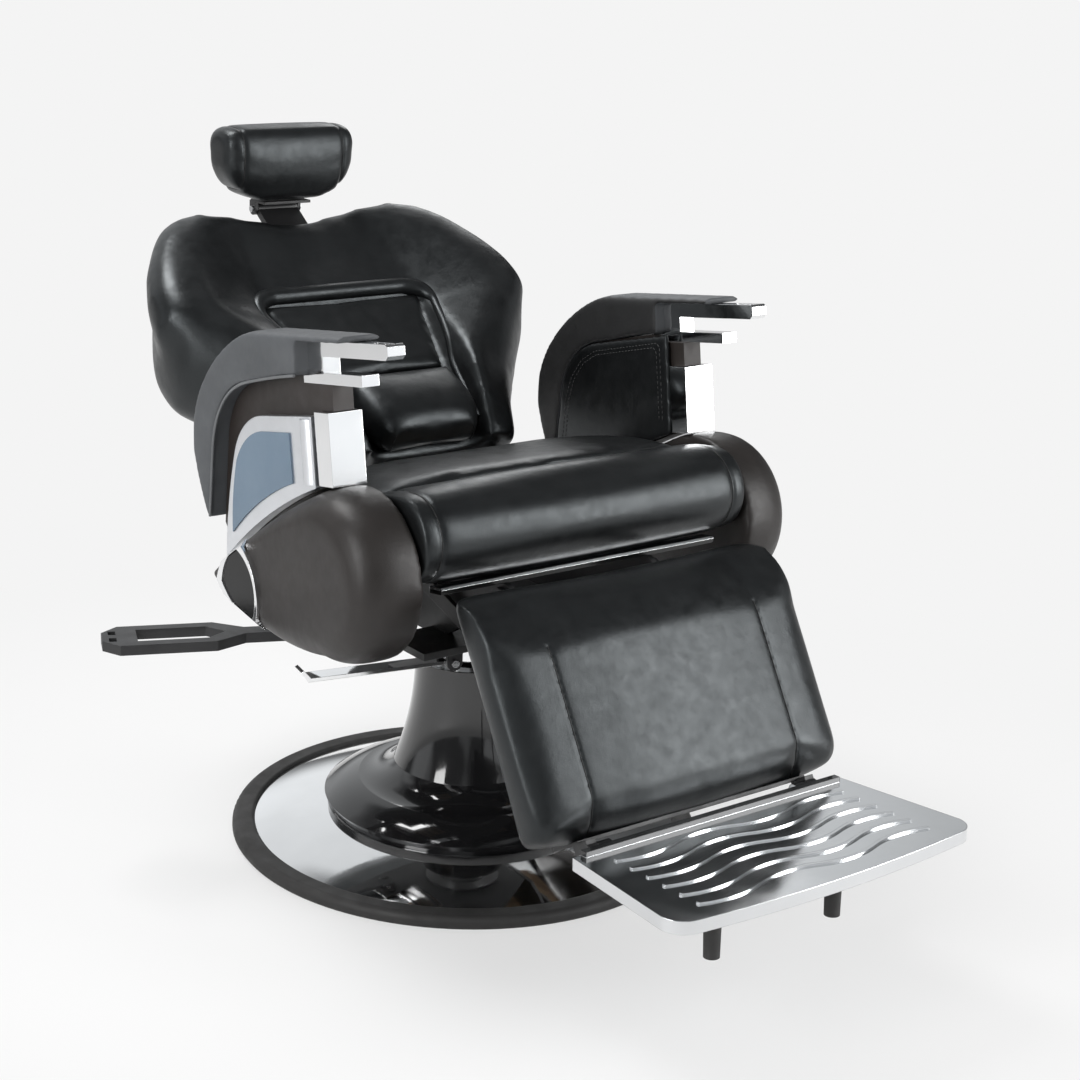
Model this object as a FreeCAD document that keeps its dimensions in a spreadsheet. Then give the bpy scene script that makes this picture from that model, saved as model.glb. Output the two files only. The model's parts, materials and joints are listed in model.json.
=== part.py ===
import FreeCAD, Part
import math
import os
import Sketcher
from FreeCAD import Placement, Rotation, Vector

# Reclining barber chair. Millimetres and degrees. The origin is on the floor under the pump,
# +Z is up, the chair faces -Y, and -X is the side with the levers.

SIZES = {
    # round base and pump
    "base_radius": 330.0,
    "ring_band": 31.0,
    "ring_height": 18.0,
    "plate_thick": 8.0,
    "dish_rise": 32.0,
    "dish_wall": 2.0,
    "skirt_radius": 200.0,
    "skirt_lip": 14.0,
    "neck_radius": 76.0,
    "neck_gap": 42.0,
    "cover_wall": 3.0,
    "piston_radius": 54.0,
    "piston_rest": 32.0,
    "head_height": 24.0,
    "bore_step": 6.0,
    "cylinder_wall": 7.0,
    "gland_height": 22.0,
    "flange_radius": 100.0,
    "flange_thick": 12.0,
    "flange_bolt_radius": 6.0,
    "spigot_radius": 30.0,
    "spigot_height": 48.0,
    "nut_height": 12.0,
    "hub_radius": 76.0,
    "hub_height": 36.0,
    # seat, in its own tilted frame
    "seat_height": 540.0,
    "seat_tilt": 9.0,
    "under_seat": 204.0,
    "under_plate_thick": 10.0,
    "under_plate_half": 108.0,
    "under_plate_front": 165.0,
    "under_plate_rear": 112.0,
    "lever_wing": 190.0,
    "side_plate_x": 112.0,
    "side_plate_thick": 8.0,
    "board_bottom": 62.0,
    "board_thick": 12.0,
    "board_half": 232.0,
    "board_rear": 49.0,
    "cushion_half": 255.0,
    "cushion_rear": 51.0,
    "seat_top": 4.0,
    "seat_crown": 6.0,
    "roll_split": 150.0,
    "roll_y": 203.0,
    "roll_radius": 61.0,
    "roll_drop": 52.0,
    "roll_half": 262.0,
    "roll_band": 27.0,
    "strip_half": 222.0,
    "strip_height": 9.0,
    "strip_depth": 7.0,
    # side pods
    "pod_radius": 110.0,
    "pod_y": 148.0,
    "pod_drop": 96.0,
    "pod_tip_y": 138.0,
    "pod_tip_drop": 118.0,
    "pod_outer": 350.0,
    "pod_round": 34.0,
    "badge_thick": 4.0,
    "badge_rim": 7.0,
    # arms
    "arm_inner": 258.0,
    "arm_outer": 322.0,
    "arm_top": 203.0,
    "arm_pad_thick": 53.0,
    "arm_nose": 192.0,
    "arm_nose_thick": 10.0,
    "arm_pad_round": 9.0,
    "arm_core_inner": 268.0,
    "arm_core_outer": 298.0,
    "arm_panel_outer": 314.0,
    "inset_thick": 2.0,
    "flute_rise": 5.0,
    "post_front": 140.0,
    "post_depth": 33.0,
    "post_top": 106.0,
    "post_inner": 262.0,
    "post_outer": 311.0,
    "tongue_reach": 266.0,
    "tongue_thick": 19.0,
    "tongue_gap": 20.0,
    "hook_reach": 205.0,
    "hook_thick": 14.0,
    "bracket_inner": 275.0,
    "bracket_outer": 300.0,
    # back, in its own frame: up the back is +Z, its front is -Y
    "back_hinge_y": 100.0,
    "back_hinge_drop": 30.0,
    "back_recline": 56.0,
    "back_length": 508.0,
    "back_wing_half": 316.0,
    "back_foot_half": 150.0,
    "back_rear": 5.5,
    "shell_depth": 88.0,
    "shell_wall": 5.0,
    "panel_top": 333.0,
    "panel_split": 178.0,
    "panel_foot": 18.0,
    "panel_half_top": 140.0,
    "panel_half_split": 104.0,
    "panel_half_foot": 82.0,
    "panel_thick": 17.0,
    "lumbar_thick": 58.0,
    "panel_groove": 2.0,
    "panel_floor": 11.0,
    "shaft_radius": 10.0,
    "ear_radius": 20.0,
    "ear_thick": 8.0,
    "frame_bar": 18.0,
    "frame_gap": 0.3,
    "upright_top": 430.0,
    "quadrant_radius": 80.0,
    "quadrant_thick": 8.0,
    # headrest
    "stem_half": 34.0,
    "stem_thick": 10.0,
    "stem_y": 9.0,
    "stem_foot": 345.0,
    "head_rise": 40.0,
    "head_pin_radius": 5.0,
    "guide_wall": 8.0,
    "guide_height": 90.0,
    "pillow_half": 113.0,
    "pillow_height": 118.0,
    "pillow_depth": 84.0,
    "pillow_shift": -20.0,
    "pillow_lift": 15.0,
    # legrest, in its own frame: the cushion hangs along -Z and faces -Y
    "leg_hinge_y": 215.0,
    "leg_hinge_drop": 147.0,
    "leg_angle": 31.0,
    "leg_shaft_radius": 9.0,
    "leg_half": 248.0,
    "leg_front": 131.0,
    "leg_rear": 52.0,
    "leg_top": 8.0,
    "leg_foot": 314.0,
    "leg_seam": 166.0,
    "leg_plate_thick": 4.0,
    "leg_plate_half": 185.0,
    "back_arm": 30.0,
    "leg_arm": 71.0,
    "link_thick": 6.0,
    "link_half": 11.0,
    "link_pin_radius": 6.0,
    "link_slack": 3.6,
    # footplate, in its own level frame with the flip hinge at its origin
    "foot_hinge_y": 117.0,
    "foot_hinge_drop": 331.0,
    "foot_back": 15.0,
    "foot_front": 228.0,
    "foot_bow": 12.0,
    "foot_half_back": 218.0,
    "foot_half_front": 238.0,
    "foot_tilt": 3.0,
    "foot_edge": 16.0,
    "foot_skin": 7.0,
    "foot_top": 8.0,
    "foot_corner": 30.0,
    "rib_height": 2.2,
    "rib_width": 5.0,
    "rib_pitch": 29.0,
    "rib_count": 6,
    "rib_wave": 8.0,
    "peg_radius": 12.0,
    "peg_tip_radius": 10.0,
    "peg_x": 98.0,
    "peg_y": 127.0,
    "peg_length": 108.0,
    "foot_pin_radius": 5.0,
    "foot_lug_x": 150.0,
    "foot_lug_width": 20.0,
    "foot_cheek": 14.7,
    # levers
    "lever_pivot_x": 158.0,
    "lever_pivot_y": 52.0,
    "lever_drop": 29.0,
    "lever_clear": 30.0,
    "lever_turn": 22.0,
    "lever_length": 340.0,
    "lever_loop": 190.0,
    "lever_width": 76.0,
    "lever_thick": 14.0,
    "lever_shank": 26.0,
    "lever_slot": 118.0,
    "lever_slot_width": 44.0,
    "lift_pivot_x": 128.0,
    "lift_pivot_y": 134.0,
    "lift_drop": 18.0,
    "lift_clear": 24.0,
    "lift_turn": 11.0,
    "lift_length": 206.0,
    "lift_width": 24.0,
    "lift_thick": 5.0,
    "lift_tip_rise": 14.0,
    "lever_pin_radius": 5.0,
    # fits
    "running": 0.05,
    "seat_gap": 0.3,
}


class Size:
    """A number together with the formula that the sheet gives it by."""

    def __init__(self, number, formula=None):
        self.number = float(number)
        self.formula = formula or f"({float(number)!r})"

    def __float__(self):
        return self.number

    def __add__(self, other):
        other = size(other)
        return Size(self.number + other.number, f"({self.formula} + {other.formula})")

    def __sub__(self, other):
        other = size(other)
        return Size(self.number - other.number, f"({self.formula} - {other.formula})")

    def __mul__(self, other):
        other = size(other)
        return Size(self.number * other.number, f"({self.formula} * {other.formula})")

    def __truediv__(self, other):
        other = size(other)
        return Size(self.number / other.number, f"({self.formula} / {other.formula})")

    def __neg__(self):
        return Size(-self.number, f"(-1 * {self.formula})")

    def __radd__(self, other):
        return size(other) + self

    def __rsub__(self, other):
        return size(other) - self

    def __rmul__(self, other):
        return size(other) * self


def size(value):
    return value if isinstance(value, Size) else Size(value)


def cosine(angle):
    return Size(math.cos(math.radians(float(angle))), f"cos({size(angle).formula})")


def sine(angle):
    return Size(math.sin(math.radians(float(angle))), f"sin({size(angle).formula})")


def lower_of(first, second):
    first, second = size(first), size(second)
    return Size(min(first.number, second.number), f"min({first.formula}; {second.formula})")


def root(value):
    return Size(math.sqrt(float(value)), f"sqrt({size(value).formula})")


doc = FreeCAD.newDocument("barber_chair")
sheet = doc.addObject("Spreadsheet::Sheet", "Sizes")
for row, (alias, number) in enumerate(SIZES.items(), start=1):
    sheet.set(f"A{row}", alias)
    sheet.set(f"B{row}", str(number))
    sheet.setAlias(f"B{row}", alias)
doc.recompute()


class Dimensions:
    """Every cell of the sheet, by its alias."""

    def __getattr__(self, alias):
        return Size(sheet.get(alias), f"Sizes.{alias}")


S = Dimensions()
nodes = []


def remember(item, label, place=None):
    item.Label = label
    if place is not None:
        item.Placement = place
    nodes.append(item)
    return item


def new_body(label, place=None):
    return remember(doc.addObject("PartDesign::Body", label), label, place)


def soft(label, shape, place=None):
    item = doc.addObject("Part::Feature", label)
    item.Shape = shape
    return remember(item, label, place)


def group(label, members, place=None):
    item = doc.addObject("Part::Compound", label)
    item.Links = members
    return remember(item, label, place)


def bind(item, path, value):
    item.setExpression(path, size(value).formula)


# Sketches and features

def arc_centre(start, end, radius):
    """Centre of an arc under half a circle: a radius above 0 turns left."""
    chord = end - start
    middle = (start + end) * 0.5
    left = Vector(-chord.y, chord.x, 0).normalize()
    height = math.sqrt(max(radius * radius - chord.Length ** 2 / 4, 0.0))
    return middle + left * (height if radius > 0 else -height)


def arc_geometry(start, end, radius):
    centre = arc_centre(start, end, radius)
    first, last = (start, end) if radius > 0 else (end, start)
    first_angle = math.atan2(first.y - centre.y, first.x - centre.x)
    last_angle = math.atan2(last.y - centre.y, last.x - centre.x)
    circle = Part.Circle(centre, Vector(0, 0, 1), abs(radius))
    return Part.ArcOfCircle(circle, first_angle, last_angle)


def pin_coordinate(sketch, kind, geo, pos, value):
    """Fix one coordinate of a point, bound to its formula."""
    index = sketch.addConstraint(Sketcher.Constraint(kind, -1, 1, geo, pos, float(value)))
    if isinstance(value, Size):
        sketch.setExpression(f"Constraints[{index}]", value.formula)


def draw_outline(sketch, outline):
    """A closed outline of (x, y) points; (x, y, radius) leaves its point along an arc."""
    points = [Vector(float(p[0]), float(p[1]), 0) for p in outline]
    spans = []
    for index, point in enumerate(outline):
        start = points[index]
        end = points[(index + 1) % len(points)]
        if len(point) == 3:
            radius = float(point[2])
            geo = sketch.addGeometry(arc_geometry(start, end, radius), False)
            spans.append((geo, 1, 2) if radius > 0 else (geo, 2, 1))
        else:
            geo = sketch.addGeometry(Part.LineSegment(start, end), False)
            spans.append((geo, 1, 2))
    for index, (geo, first, last) in enumerate(spans):
        after = spans[(index + 1) % len(spans)]
        sketch.addConstraint(Sketcher.Constraint("Coincident", geo, last, after[0], after[1]))
        pin_coordinate(sketch, "DistanceX", geo, first, outline[index][0])
        pin_coordinate(sketch, "DistanceY", geo, first, outline[index][1])
    for index, point in enumerate(outline):
        if len(point) == 3:
            geo = spans[index][0]
            rule = Sketcher.Constraint("Radius", geo, abs(float(point[2])))
            place = sketch.addConstraint(rule)
            radius = size(point[2])
            bind(sketch, f"Constraints[{place}]", radius if radius.number > 0 else -radius)


def draw_circle(sketch, x, y, radius):
    circle = Part.Circle(Vector(float(x), float(y), 0), Vector(0, 0, 1), float(radius))
    geo = sketch.addGeometry(circle, False)
    pin_coordinate(sketch, "DistanceX", geo, 3, x)
    pin_coordinate(sketch, "DistanceY", geo, 3, y)
    place = sketch.addConstraint(Sketcher.Constraint("Radius", geo, float(radius)))
    bind(sketch, f"Constraints[{place}]", radius)


def draw(body, role, outlines, start=0):
    """A sketch on one of the body's own planes; an outline of one entry is a circle."""
    plane = next(f for f in body.Origin.OriginFeatures if f.Role == role)
    sketch = body.newObject("Sketcher::SketchObject", f"{body.Name}_sketch")
    sketch.AttachmentSupport = [(plane, "")]
    sketch.MapMode = "FlatFace"
    bind(sketch, "AttachmentOffset.Base.z", start)
    for outline in outlines:
        if len(outline) == 1:
            draw_circle(sketch, *outline[0])
        else:
            draw_outline(sketch, outline)
    return sketch


def pad(body, role, outlines, start, length):
    """Material from start onwards along the plane's normal (-Y for the XZ plane)."""
    feature = body.newObject("PartDesign::Pad", f"{body.Name}_pad")
    feature.Profile = draw(body, role, outlines, start)
    bind(feature, "Length", length)
    return feature


def pocket(body, role, outlines, start, length):
    feature = body.newObject("PartDesign::Pocket", f"{body.Name}_pocket")
    feature.Profile = draw(body, role, outlines, start)
    feature.Reversed = True
    bind(feature, "Length", length)
    return feature


def revolve(body, outline):
    """A solid of revolution about Z from an outline of (radius, height) points."""
    feature = body.newObject("PartDesign::Revolution", f"{body.Name}_turn")
    sketch = draw(body, "XZ_Plane", [outline])
    feature.Profile = sketch
    feature.ReferenceAxis = (sketch, ["V_Axis"])
    feature.Angle = 360
    return feature


def round_edges(body, radius, wanted):
    """Fillet the edges of the body so far that the test picks."""
    doc.recompute()
    base = body.Tip
    names = [f"Edge{i}" for i, edge in enumerate(base.Shape.Edges, start=1) if wanted(edge)]
    feature = body.newObject("PartDesign::Fillet", f"{body.Name}_fillet")
    feature.Base = (base, names)
    bind(feature, "Radius", radius)
    return feature


def rectangle(x0, x1, y0, y1):
    return [(x0, y0), (x1, y0), (x1, y1), (x0, y1)]


def slab_start(side, inner, outer):
    """Lower X of a slab that lies from inner to outer on one side of the chair."""
    return inner if side > 0 else -outer


def cylinder(name, radius, length, base, axis):
    item = doc.addObject("Part::Cylinder", name)
    bind(item, "Radius", radius)
    bind(item, "Height", length)
    item.Placement = Placement(Vector(*[float(v) for v in base]), Rotation(Vector(0, 0, 1), axis))
    for letter, value in zip("xyz", base):
        bind(item, f"Placement.Base.{letter}", value)
    return item


# Wires and lofts of the soft pieces

def wire(points, place):
    """A closed wire of (u, v) points; (u, v, rise) leaves its point along an arc that
    stands that far out to the right of the way it goes."""
    edges = []
    for index, point in enumerate(points):
        after = points[(index + 1) % len(points)]
        start = place(float(point[0]), float(point[1]))
        end = place(float(after[0]), float(after[1]))
        if len(point) == 2:
            edges.append(Part.LineSegment(start, end).toShape())
            continue
        du = float(after[0]) - float(point[0])
        dv = float(after[1]) - float(point[1])
        length = math.hypot(du, dv)
        rise = float(point[2])
        middle = place((float(point[0]) + float(after[0])) / 2 + dv / length * rise,
                       (float(point[1]) + float(after[1])) / 2 - du / length * rise)
        edges.append(Part.Arc(start, middle, end).toShape())
    return Part.Wire(edges)


def loft(wires, ruled=False):
    return Part.makeLoft(wires, True, ruled)


def across(x):
    return lambda u, v: Vector(float(x), u, v)


def level(z):
    return lambda u, v: Vector(u, v, float(z))


def facing(y):
    return lambda u, v: Vector(u, float(y), v)


# Frames of the tilted groups

def seat_point(y, z):
    """A point of the seat's frame, as (y, z) of the chair."""
    return (y * cosine(S.seat_tilt) + z * sine(S.seat_tilt),
            S.seat_height - y * sine(S.seat_tilt) + z * cosine(S.seat_tilt))


def swung_point(origin, angle, y, z):
    """A point of a frame that leans back by an angle at an origin, as (y, z) of the chair."""
    return (origin[0] + y * cosine(angle) + z * sine(angle),
            origin[1] - y * sine(angle) + z * cosine(angle))


def swung_place(origin, angle):
    return Placement(Vector(0, float(origin[0]), float(origin[1])),
                     Rotation(Vector(-1, 0, 0), float(angle)))


seat_place = swung_place((0, S.seat_height), S.seat_tilt)
back_hinge = seat_point(S.back_hinge_y, -S.back_hinge_drop)
back_place = swung_place(back_hinge, S.back_recline)
leg_hinge = seat_point(-S.leg_hinge_y, -S.leg_hinge_drop)
leg_place = swung_place(leg_hinge, S.leg_angle)
foot_hinge = swung_point(leg_hinge, S.leg_angle, -S.foot_hinge_y, -S.foot_hinge_drop)
foot_place = swung_place(foot_hinge, S.foot_tilt)
head_hinge_z = S.back_length + S.head_rise
head_hinge = swung_point(back_hinge, S.back_recline, -S.stem_y, head_hinge_z)
head_place = swung_place(head_hinge, 0)
hub_floor = S.seat_height - S.under_seat
piston_top = hub_floor - S.hub_height
neck_height = piston_top - S.neck_gap
plate_top = hub_floor + S.under_plate_thick


# Base: steel plate, rubber ring, bright dish, pump and its gloss cover

def build_base():
    ring_inner = S.base_radius - S.ring_band
    plate = new_body("base_plate")
    pad(plate, "XY_Plane", [[(0, 0, ring_inner - S.seat_gap)]], 0, S.plate_thick)

    ring = new_body("base_ring")
    soft_edge = S.ring_height / 2
    revolve(ring, [(ring_inner, 0), (S.base_radius - 3, 0), (S.base_radius, 4),
                   (S.base_radius, S.ring_height - soft_edge, soft_edge),
                   (S.base_radius - soft_edge, S.ring_height),
                   (ring_inner + 5, S.ring_height, 5), (ring_inner, S.ring_height - 5)])

    rim = ring_inner - S.seat_gap
    dish_inner = S.skirt_radius - 60
    dish_top = S.plate_thick + S.dish_rise
    dish = new_body("base_dish")
    bulge = S.base_radius * 2
    seat_edge = S.skirt_radius - 4
    revolve(dish, [(rim - 4, S.plate_thick), (rim, S.plate_thick),
                   (rim, S.plate_thick + 6, bulge), (seat_edge, dish_top), (dish_inner, dish_top),
                   (dish_inner, dish_top - S.dish_wall), (seat_edge, dish_top - S.dish_wall, -bulge),
                   (rim - 4, S.plate_thick + 6 - S.dish_wall)])

    build_pump_cover(dish_top)
    build_pump()


def build_pump_cover(dish_top):
    """The bell: a lip on the dish, a domed skirt and a flared neck."""
    wall = S.cover_wall
    foot = dish_top + S.seat_gap
    brim = foot + S.skirt_lip
    shoulder = S.neck_radius * 2
    dome_z = brim + S.skirt_lip * 1.7
    waist = S.neck_radius * 1.35
    waist_z = brim + S.skirt_lip * 3.4
    dome_bulge = S.skirt_radius * 0.62
    flare = S.skirt_radius * 0.3
    sweep = neck_height * 1.6
    outer = [(S.skirt_radius - 8, foot), (S.skirt_radius, brim, dome_bulge), (shoulder, dome_z, -flare),
             (waist, waist_z, -sweep), (S.neck_radius, neck_height)]
    inner = [(S.neck_radius - wall, neck_height, sweep), (waist - wall, waist_z, flare + wall),
             (shoulder, dome_z - wall, wall - dome_bulge), (S.skirt_radius - wall, brim),
             (S.skirt_radius - 8 - wall, foot)]
    revolve(new_body("pump_cover"), outer + inner)


def build_pump():
    bore = S.piston_radius + S.bore_step
    shell = bore + S.cylinder_wall
    floor = S.plate_thick
    gland_top = neck_height - 4
    gland_foot = gland_top - S.gland_height
    bolt_circle = (shell + S.flange_radius) / 2
    flange_top = floor + S.flange_thick

    tube = new_body("pump_cylinder")
    revolve(tube, [(bore, floor), (S.flange_radius, floor), (S.flange_radius, flange_top),
                   (shell, flange_top), (shell, gland_foot), (bore, gland_foot)])

    gland = new_body("cylinder_gland")
    slip = S.piston_radius + S.running
    revolve(gland, [(slip, gland_foot), (shell, gland_foot), (shell, gland_top - 5),
                    (shell - 5, gland_top), (slip, gland_top)])

    bolts = []
    for index in range(6):
        place = (bolt_circle * cosine(60 * index), bolt_circle * sine(60 * index), flange_top)
        head = cylinder(f"flange_bolt_{index + 1}", S.flange_bolt_radius * 1.6,
                        S.flange_bolt_radius, place, Vector(0, 0, 1))
        bolts.append(head)
    group("base_bolts", bolts)

    piston = new_body("lift_piston")
    foot = floor + S.piston_rest
    head = bore - S.running
    revolve(piston, [(0, foot), (head, foot), (head, foot + S.head_height),
                     (S.piston_radius, foot + S.head_height), (S.piston_radius, piston_top),
                     (S.spigot_radius, piston_top),
                     (S.spigot_radius, piston_top + S.spigot_height + S.nut_height),
                     (0, piston_top + S.spigot_height + S.nut_height)])

    nut = new_body("spigot_nut")
    seat = piston_top + S.spigot_height
    flat = S.spigot_radius * 1.5
    corners = [(flat * cosine(60 * i), flat * sine(60 * i)) for i in range(6)]
    pad(nut, "XY_Plane", [corners, [(0, 0, S.spigot_radius + S.running)]], seat, S.nut_height)


# Seat underframe

def build_underframe():
    hub = new_body("swivel_hub")
    slip = S.spigot_radius + S.running
    foot = piston_top + S.seat_gap
    revolve(hub, [(slip, foot), (S.piston_radius, foot), (S.piston_radius, foot + 12),
                  (S.hub_radius, hub_floor - 12), (S.hub_radius, hub_floor), (slip, hub_floor)])

    frame = new_body("seat_frame")
    front = -S.under_plate_front
    wing = S.lever_wing
    notch = 108
    outline = [(-wing, front), (0, front), (S.under_plate_half, front / 2),
               (S.under_plate_half, S.under_plate_rear), (-wing, S.under_plate_rear),
               (-wing, 20), (-notch, 20), (-notch, -80), (-wing, -80)]
    pad(frame, "XY_Plane", [outline, [(0, 0, S.spigot_radius + 3)]], hub_floor, S.under_plate_thick)
    board_line = -S.board_bottom
    rear = seat_point(S.board_rear + 3, board_line)
    fore = seat_point(-S.roll_split + 6, board_line)
    chin = seat_point(-S.roll_split + 4, -S.roll_drop - S.roll_radius - 5)
    b_y, b_z = back_hinge
    l_y, l_z = leg_hinge
    plate = [(-100, hub_floor), (104, hub_floor), (b_y + 15, b_z - 16), (b_y - 14, b_z + 10), rear, fore,
             chin, (l_y - 6, l_z + 16), (l_y + 10, l_z - 16)]
    ear = S.ear_radius + 2
    for side in (-1, 1):
        start = slab_start(side, S.side_plate_x, S.side_plate_x + S.side_plate_thick)
        pad(frame, "YZ_Plane", [plate], start, S.side_plate_thick)
        pad(frame, "YZ_Plane", [[(b_y, b_z, ear)]], start, S.side_plate_thick)
        pad(frame, "YZ_Plane", [[(l_y, l_z, ear)]], start, S.side_plate_thick)
    through = S.side_plate_x * 2 + S.side_plate_thick * 2
    holes = [[(b_y, b_z, S.shaft_radius + S.running)], [(l_y, l_z, S.leg_shaft_radius + S.running)]]
    pocket(frame, "YZ_Plane", holes, -through / 2, through)

    shaft_half = S.side_plate_x + S.side_plate_thick + S.ear_thick + 4
    shaft = new_body("legrest_shaft")
    pad(shaft, "YZ_Plane", [[(l_y, l_z, S.leg_shaft_radius)]], -shaft_half, shaft_half * 2)

    clamp = new_body("recline_clamp")
    inside = S.side_plate_x - S.seat_gap
    jaw = S.quadrant_thick + S.seat_gap * 4
    gap_from = inside - 8 - jaw
    slot_floor = b_z - S.quadrant_radius - 3
    jaw_top = b_z - S.quadrant_radius + 26
    pad(clamp, "XZ_Plane", [[(-inside, plate_top), (-gap_from + 8, plate_top), (-gap_from + 8, jaw_top),
                             (-gap_from, jaw_top), (-gap_from, slot_floor), (-gap_from - jaw, slot_floor),
                             (-gap_from - jaw, jaw_top), (-inside, jaw_top)]], -b_y - 14, 28)
    return gap_from + jaw / 2


def build_seat():
    board = new_body("seat_board", seat_place)
    pad(board, "XY_Plane", [rectangle(-S.board_half, S.board_half, -S.roll_split + S.seat_gap, S.board_rear)],
        -S.board_bottom, S.board_thick)
    round_edges(board, 18, lambda e: abs(e.tangentAt(e.FirstParameter).z) > 0.99)

    floor = S.board_thick - S.board_bottom + S.seat_gap
    front = -S.roll_split + S.seat_gap
    sections = []
    for x, drop, draw_in in ((-1, 12, 8), (-0.9, 2, 1), (-0.5, -3, 0), (0.5, -3, 0), (0.9, 2, 1), (1, 12, 8)):
        top = S.seat_top - drop
        rear = S.cushion_rear - draw_in
        points = [(front, floor), (rear - 14, floor), (rear, top - 16, 5), (rear - 12, top, S.seat_crown),
                  (front, top)]
        sections.append(wire(points, across(S.cushion_half * x)))
    soft("seat_cushion", loft(sections, True), seat_place)

    sections = []
    inner = S.roll_half - S.roll_band
    stations = ((-S.roll_half, 0.9), (-S.roll_half + 7, 0.97), (-inner, 0.97), (-inner + 9, 1.0), (0, 1.01),
                (inner - 9, 1.0), (inner, 0.97), (S.roll_half - 7, 0.97), (S.roll_half, 0.9))
    for x, grow in stations:
        r = S.roll_radius * grow
        back = -S.roll_split - S.seat_gap
        y, z = -S.roll_y, -S.roll_drop
        bend = r * 0.293
        points = [(back, z + r), (y, z + r, bend), (y - r, z, bend), (y, z - r), (back, z - r)]
        sections.append(wire(points, across(x)))
    soft("front_roll", loft(sections, True), seat_place)

    strip = new_body("trim_strip", seat_place)
    strip_top = -S.roll_drop - S.roll_radius * 1.01 - S.seat_gap
    strip_y = -S.roll_y - S.roll_radius * 0.35
    lip = strip_y - S.strip_depth
    strip_foot = strip_top - S.strip_height
    pad(strip, "YZ_Plane", [[(lip, strip_top - 3), (lip + 3, strip_foot), (strip_y + 20, strip_foot),
                             (strip_y + 20, strip_top), (lip + 3, strip_top)]],
        -S.strip_half, S.strip_half * 2)


# Side pods and their badges

def bow(start, end, rise):
    """Radius of an arc between two points that stands out by a rise."""
    chord = root((end[0] - start[0]) * (end[0] - start[0]) + (end[1] - start[1]) * (end[1] - start[1]))
    return chord * chord / (8 * size(rise)) + size(rise) / 2


def pod_marks():
    """Tangent points of the pod's drop shape: top, front, bottom, tip."""
    lead = S.pod_radius * 0.24
    reach = root(S.pod_radius * S.pod_radius - lead * lead)
    top = (lead - S.pod_y, reach - S.pod_drop)
    front = (-S.pod_y - S.pod_radius, -S.pod_drop)
    bottom = (lead - S.pod_y, -S.pod_drop - reach)
    tip = (S.pod_tip_y, -S.pod_tip_drop)
    return top, front, bottom, tip


def pod_section(shrink):
    """The drop shape with its round end drawn in; the tip follows a little."""
    radius = S.pod_radius - shrink
    lead = radius * 0.24
    reach = root(radius * radius - lead * lead)
    share = float(radius) / float(S.pod_radius)
    turn = radius * 0.383
    return [(lead - S.pod_y, reach - S.pod_drop, turn), (-S.pod_y - radius, -S.pod_drop, turn),
            (lead - S.pod_y, -S.pod_drop - reach, 28 * share),
            (S.pod_tip_y - shrink * 0.3, -S.pod_tip_drop, 12 * share)]


def pod_loft(side, skin):
    """One pod, grown by a skin."""
    inner = S.roll_half + S.seat_gap
    depth = S.pod_outer - inner
    stations = ((0, 0), (0.45, 0), (0.62, 0.08), (0.77, 0.22), (0.9, 0.5), (1, 1))
    wires = []
    for share, shrink in stations:
        x = inner + depth * share + (skin if share == 1 else 0)
        wires.append(wire(pod_section(S.pod_round * shrink - skin), across(x * side)))
    return loft(wires, True)


def build_pods():
    # the badge is a plain shield that wraps the pod near its tip
    high = (S.pod_tip_y - 100, -S.pod_tip_drop + 54)
    low = (S.pod_tip_y - 126, -S.pod_tip_drop - 62)
    end = (S.pod_tip_y - 36, -S.pod_tip_drop - 4)
    rim = S.badge_rim
    inside = [(high[0] + rim / 2, high[1] - rim * 1.6), (low[0] + rim / 2, low[1] + rim * 1.6),
              (end[0] - rim * 1.9, end[1])]
    near = (S.roll_half + S.pod_outer) / 2

    def shield(marks, swell, side):
        a, b, c = marks
        outline = wire([a + (swell,), b + (9,), c + (9,)], across(near * side))
        return Part.Face(outline).extrude(Vector(float(S.pod_outer) * side, 0, 0))

    def badge(label, shape):
        item = doc.addObject("Part::Feature", label)
        item.Shape = shape
        return item

    frames = []
    plates = []
    for side, name in ((-1, "right"), (1, "left")):
        pod = pod_loft(side, 0)
        soft(f"side_pod_{name}", pod, seat_place)
        hole = shield(inside, 24, side)
        ring = shield((high, low, end), 26, side).cut(hole)
        frames.append(badge(f"badge_frame_{name}", pod_loft(side, S.badge_thick).cut(pod).common(ring)))
        plates.append(badge(f"badge_plate_{name}", pod_loft(side, S.badge_thick / 2).cut(pod).common(hole)))
    group("badge_frames", frames, seat_place)
    group("badge_plates", plates, seat_place)


# Arms

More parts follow.
